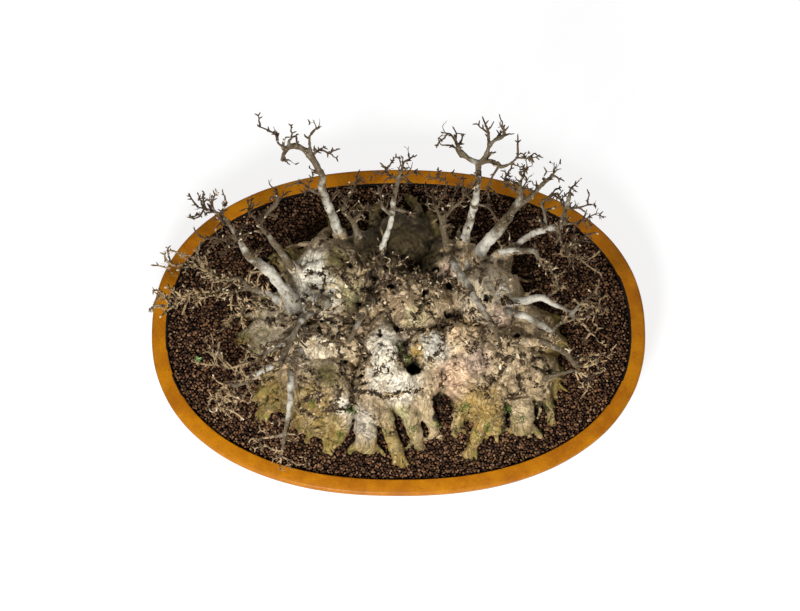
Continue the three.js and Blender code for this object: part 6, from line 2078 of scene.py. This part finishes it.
def count_setting(name, description, default):
    """A seed or a count that a user would change"""
    return IntProperty(name=name, description=description, default=default, min=0)


def share_setting(name, description, default, top=1.0):
    """A share or a strength that a user would change"""
    return FloatProperty(name=name, description=description, default=default, min=0, max=top,
                         subtype="FACTOR")


def place_setting(name, description, default):
    """A place that a user would change"""
    return FloatVectorProperty(name=name, description=description, default=default, size=3,
                               subtype="TRANSLATION", unit="LENGTH")


class PotSettings(bpy.types.PropertyGroup):
    """Sizes and colours of the pot"""

    sides: count_setting("Sides", "Faces round the oval", 288)
    unevenness: size_setting("Unevenness", "How far the hand-made wall strays", 0.5)
    glaze: colour_setting("Glaze", "The amber glaze where it lies thick", tone(172, 108, 0))
    glaze_dark: colour_setting("Dark glaze", "The glaze where it has run thin", tone(146, 84, 0))
    # Nearly black: bare clay, and painted shade on the pot's inner wall
    clay: colour_setting("Clay", "Bare clay, dark with damp", tone(26, 21, 17))


class WoodSettings(bpy.types.PropertyGroup):
    """Sizes and colours of the roots, the limbs and the twigs"""

    seed: count_setting("Seed", "Changes every random twig and rootlet", 11)
    grain: size_setting("Root grain", "Squares in the skin of the root mass", 1.88)
    limb_grain: size_setting("Limb grain", "Squares in the skin of the limbs", 1.3)
    thin_limit: size_setting("Thin limit", "Radius below which a limb is a twig", 1.7)
    gully_spacing: size_setting("Gully spacing", "How far apart the bark's gullies run", 27)
    gully_depth: size_setting("Gully depth", "How deep the bark's gullies are", 2.6)
    rootlets: count_setting("Rootlets", "Thin roots round the root mass", 46)
    sprig_share: share_setting("Sprigs", "How often a sprig leaves a limb", 0.5)
    thicket_share: share_setting("Thickets", "How crowded the thickets are", 0.55, 3)
    flakes: count_setting("Flakes", "Bark flakes and crumbs on the root mass", 2200)
    crumb_spacing: size_setting("Crumb spacing", "How far apart crumbs lie in the creases", 0.8)
    bark_smooth: colour_setting("Smooth bark", "Young sound bark", tone(200, 194, 178))
    bark_brown: colour_setting("Brown bark", "Older bark of the limbs", tone(92, 78, 55))
    bark_dark: colour_setting("Dark bark", "Streaks and stains", tone(74, 58, 38))
    bark_pale: colour_setting("Pale flecks", "Scuffs and flecks", tone(222, 210, 184))
    bark_scuffed: colour_setting("Scuffed bark", "Plates of bark worn to the wood", tone(196, 180, 148))
    bark_peeled: colour_setting("Peeled bark", "Fresh peeled places and cut ends", tone(244, 226, 192))
    # Nearly black: the colour of dark cracks, and painted shade in creases, hollows and pits
    crease: colour_setting("Crease", "Cracks and creases", tone(22, 15, 9))
    algae: colour_setting("Algae", "Damp green film near the soil", tone(118, 116, 48))
    twig_dark: colour_setting("Dark twig", "Twigs in shade", tone(58, 42, 27))
    twig_pale: colour_setting("Pale twig", "Twigs in light", tone(180, 154, 114))


class SoilSettings(bpy.types.PropertyGroup):
    """Sizes and colours of the grained soil"""

    seed: count_setting("Seed", "Changes where the grains lie", 5)
    grain: size_setting("Grain", "Distance between the grains", 3.6)
    loose_share: share_setting("Loose grains", "Share of grains that lie on others", 0.14)
    grain_dark: colour_setting("Dark grain", "Damp grains", tone(50, 31, 21))
    grain_pale: colour_setting("Pale grain", "Dry grains", tone(128, 92, 62))


class GreenSettings(bpy.types.PropertyGroup):
    """Sizes and colours of the moss and the seedling"""

    seed: count_setting("Seed", "Changes the moss", 23)
    moss_shoots: count_setting("Moss shoots", "Shoots in each cushion", 90)
    moss_dark: colour_setting("Dark moss", "Moss in shade", tone(48, 74, 20))
    moss_fresh: colour_setting("Fresh moss", "Moss tips", tone(104, 142, 44))
    leaf: colour_setting("Leaf", "The seedling's leaves", tone(66, 118, 34))


class StudioSettings(bpy.types.PropertyGroup):
    """The floor and the lights"""

    floor_size: size_setting("Floor size", "Side of the floor", 40, METRE)
    floor: colour_setting("Floor", "Pale paper", tone(150, 150, 150))
    sky: share_setting("Sky", "Light from all round", 0.3, 5)
    key_place: place_setting("Key light", "Where the key light hangs", (-0.2, -0.85, 0.95))
    key_size: size_setting("Key size", "Width of the key light", 0.4, METRE)
    key_power: FloatProperty(name="Key power", description="Watts of the key light", default=20)
    fill_place: place_setting("Fill light", "Where the fill light hangs", (1.2, 1.0, 2.4))
    fill_size: size_setting("Fill size", "Width of the fill light", 1.8, METRE)
    fill_power: FloatProperty(name="Fill power", description="Watts of the fill light", default=4)


class BonsaiSettings(bpy.types.PropertyGroup):
    """All settings of the bonsai"""

    pot: PointerProperty(type=PotSettings, name="Pot", description="The glazed pot")
    wood: PointerProperty(type=WoodSettings, name="Wood", description="Roots, limbs and twigs")
    soil: PointerProperty(type=SoilSettings, name="Soil", description="The grained soil")
    green: PointerProperty(type=GreenSettings, name="Green", description="Moss and seedling")
    studio: PointerProperty(type=StudioSettings, name="Studio", description="Floor and lights")


class BonsaiOperator:
    """What all the bonsai's operators share"""

    bl_options = {"REGISTER", "UNDO"}


class BONSAI_OT_pot(BonsaiOperator, bpy.types.Operator):
    """Turn and glaze the oval pot"""

    bl_idname = "bonsai.pot"
    bl_label = "Pot"

    def execute(self, context):
        build_pot(context.scene.bonsai.pot)
        return {"FINISHED"}


class BONSAI_OT_root_mass(BonsaiOperator, bpy.types.Operator):
    """Grow the root mass and its roots"""

    bl_idname = "bonsai.root_mass"
    bl_label = "Root mass"

    def execute(self, context):
        build_root_mass(context.scene.bonsai.wood)
        return {"FINISHED"}


class BONSAI_OT_limbs(BonsaiOperator, bpy.types.Operator):
    """Grow the thick limbs"""

    bl_idname = "bonsai.limbs"
    bl_label = "Limbs"

    def execute(self, context):
        build_limbs(context.scene.bonsai.wood)
        return {"FINISHED"}


class BONSAI_OT_twigs(BonsaiOperator, bpy.types.Operator):
    """Grow the thin ends of the limbs, their sprigs and the thickets on the root mass"""

    bl_idname = "bonsai.twigs"
    bl_label = "Twigs"

    def execute(self, context):
        wood = context.scene.bonsai.wood
        build_twigs(wood)
        build_sprigs(wood)
        build_thickets(wood)
        return {"FINISHED"}


class BONSAI_OT_litter(BonsaiOperator, bpy.types.Operator):
    """Drop bark flakes and crumbs on the root mass"""

    bl_idname = "bonsai.litter"
    bl_label = "Bark litter"

    def execute(self, context):
        build_litter(context.scene.bonsai.wood)
        return {"FINISHED"}


class BONSAI_OT_soil(BonsaiOperator, bpy.types.Operator):
    """Cover the soil with its grains"""

    bl_idname = "bonsai.soil"
    bl_label = "Soil"

    def execute(self, context):
        build_soil(context.scene.bonsai.soil)
        return {"FINISHED"}


class BONSAI_OT_green(BonsaiOperator, bpy.types.Operator):
    """Grow the moss and the seedling"""

    bl_idname = "bonsai.green"
    bl_label = "Moss and seedling"

    def execute(self, context):
        green = context.scene.bonsai.green
        build_moss(green)
        build_seedling(green)
        return {"FINISHED"}


class BONSAI_OT_screens(BonsaiOperator, bpy.types.Operator):
    """Finish the two drain screens and the wires that pin them"""

    bl_idname = "bonsai.screens"
    bl_label = "Drain screens"

    def execute(self, context):
        soil = context.scene.bonsai.soil
        for side in ("left", "right"):
            dress(f"drain_screen_{side}", mesh_finish(soil))
            dress(f"screen_wire_{side}", wire_finish())
        return {"FINISHED"}


class BONSAI_OT_studio(BonsaiOperator, bpy.types.Operator):
    """Set the floor, the lights and the camera"""

    bl_idname = "bonsai.studio"
    bl_label = "Studio"

    def execute(self, context):
        build_studio(context.scene.bonsai.studio)
        return {"FINISHED"}


OPERATORS = (
    BONSAI_OT_pot, BONSAI_OT_root_mass, BONSAI_OT_limbs, BONSAI_OT_twigs, BONSAI_OT_litter,
    BONSAI_OT_soil, BONSAI_OT_green, BONSAI_OT_screens, BONSAI_OT_studio,
)


class BONSAI_PT_panel(bpy.types.Panel):
    """Lists the operators that make the bonsai"""

    bl_label = "Bonsai"
    bl_idname = "BONSAI_PT_panel"
    bl_space_type = "VIEW_3D"
    bl_region_type = "UI"
    bl_category = "Bonsai"

    def draw(self, context):
        for operator in OPERATORS:
            self.layout.operator(operator.bl_idname)


CLASSES = (
    PotSettings, WoodSettings, SoilSettings, GreenSettings, StudioSettings, BonsaiSettings,
    *OPERATORS, BONSAI_PT_panel,
)


def register():
    for kind in CLASSES:
        bpy.utils.register_class(kind)
    bpy.types.Scene.bonsai = PointerProperty(type=BonsaiSettings)


def unregister():
    del bpy.types.Scene.bonsai
    for kind in reversed(CLASSES):
        bpy.utils.unregister_class(kind)


def main():
    register()
    for operator in OPERATORS:
        group, name = operator.bl_idname.split(".")
        getattr(getattr(bpy.ops, group), name)()


if __name__ == "__main__":
    main()
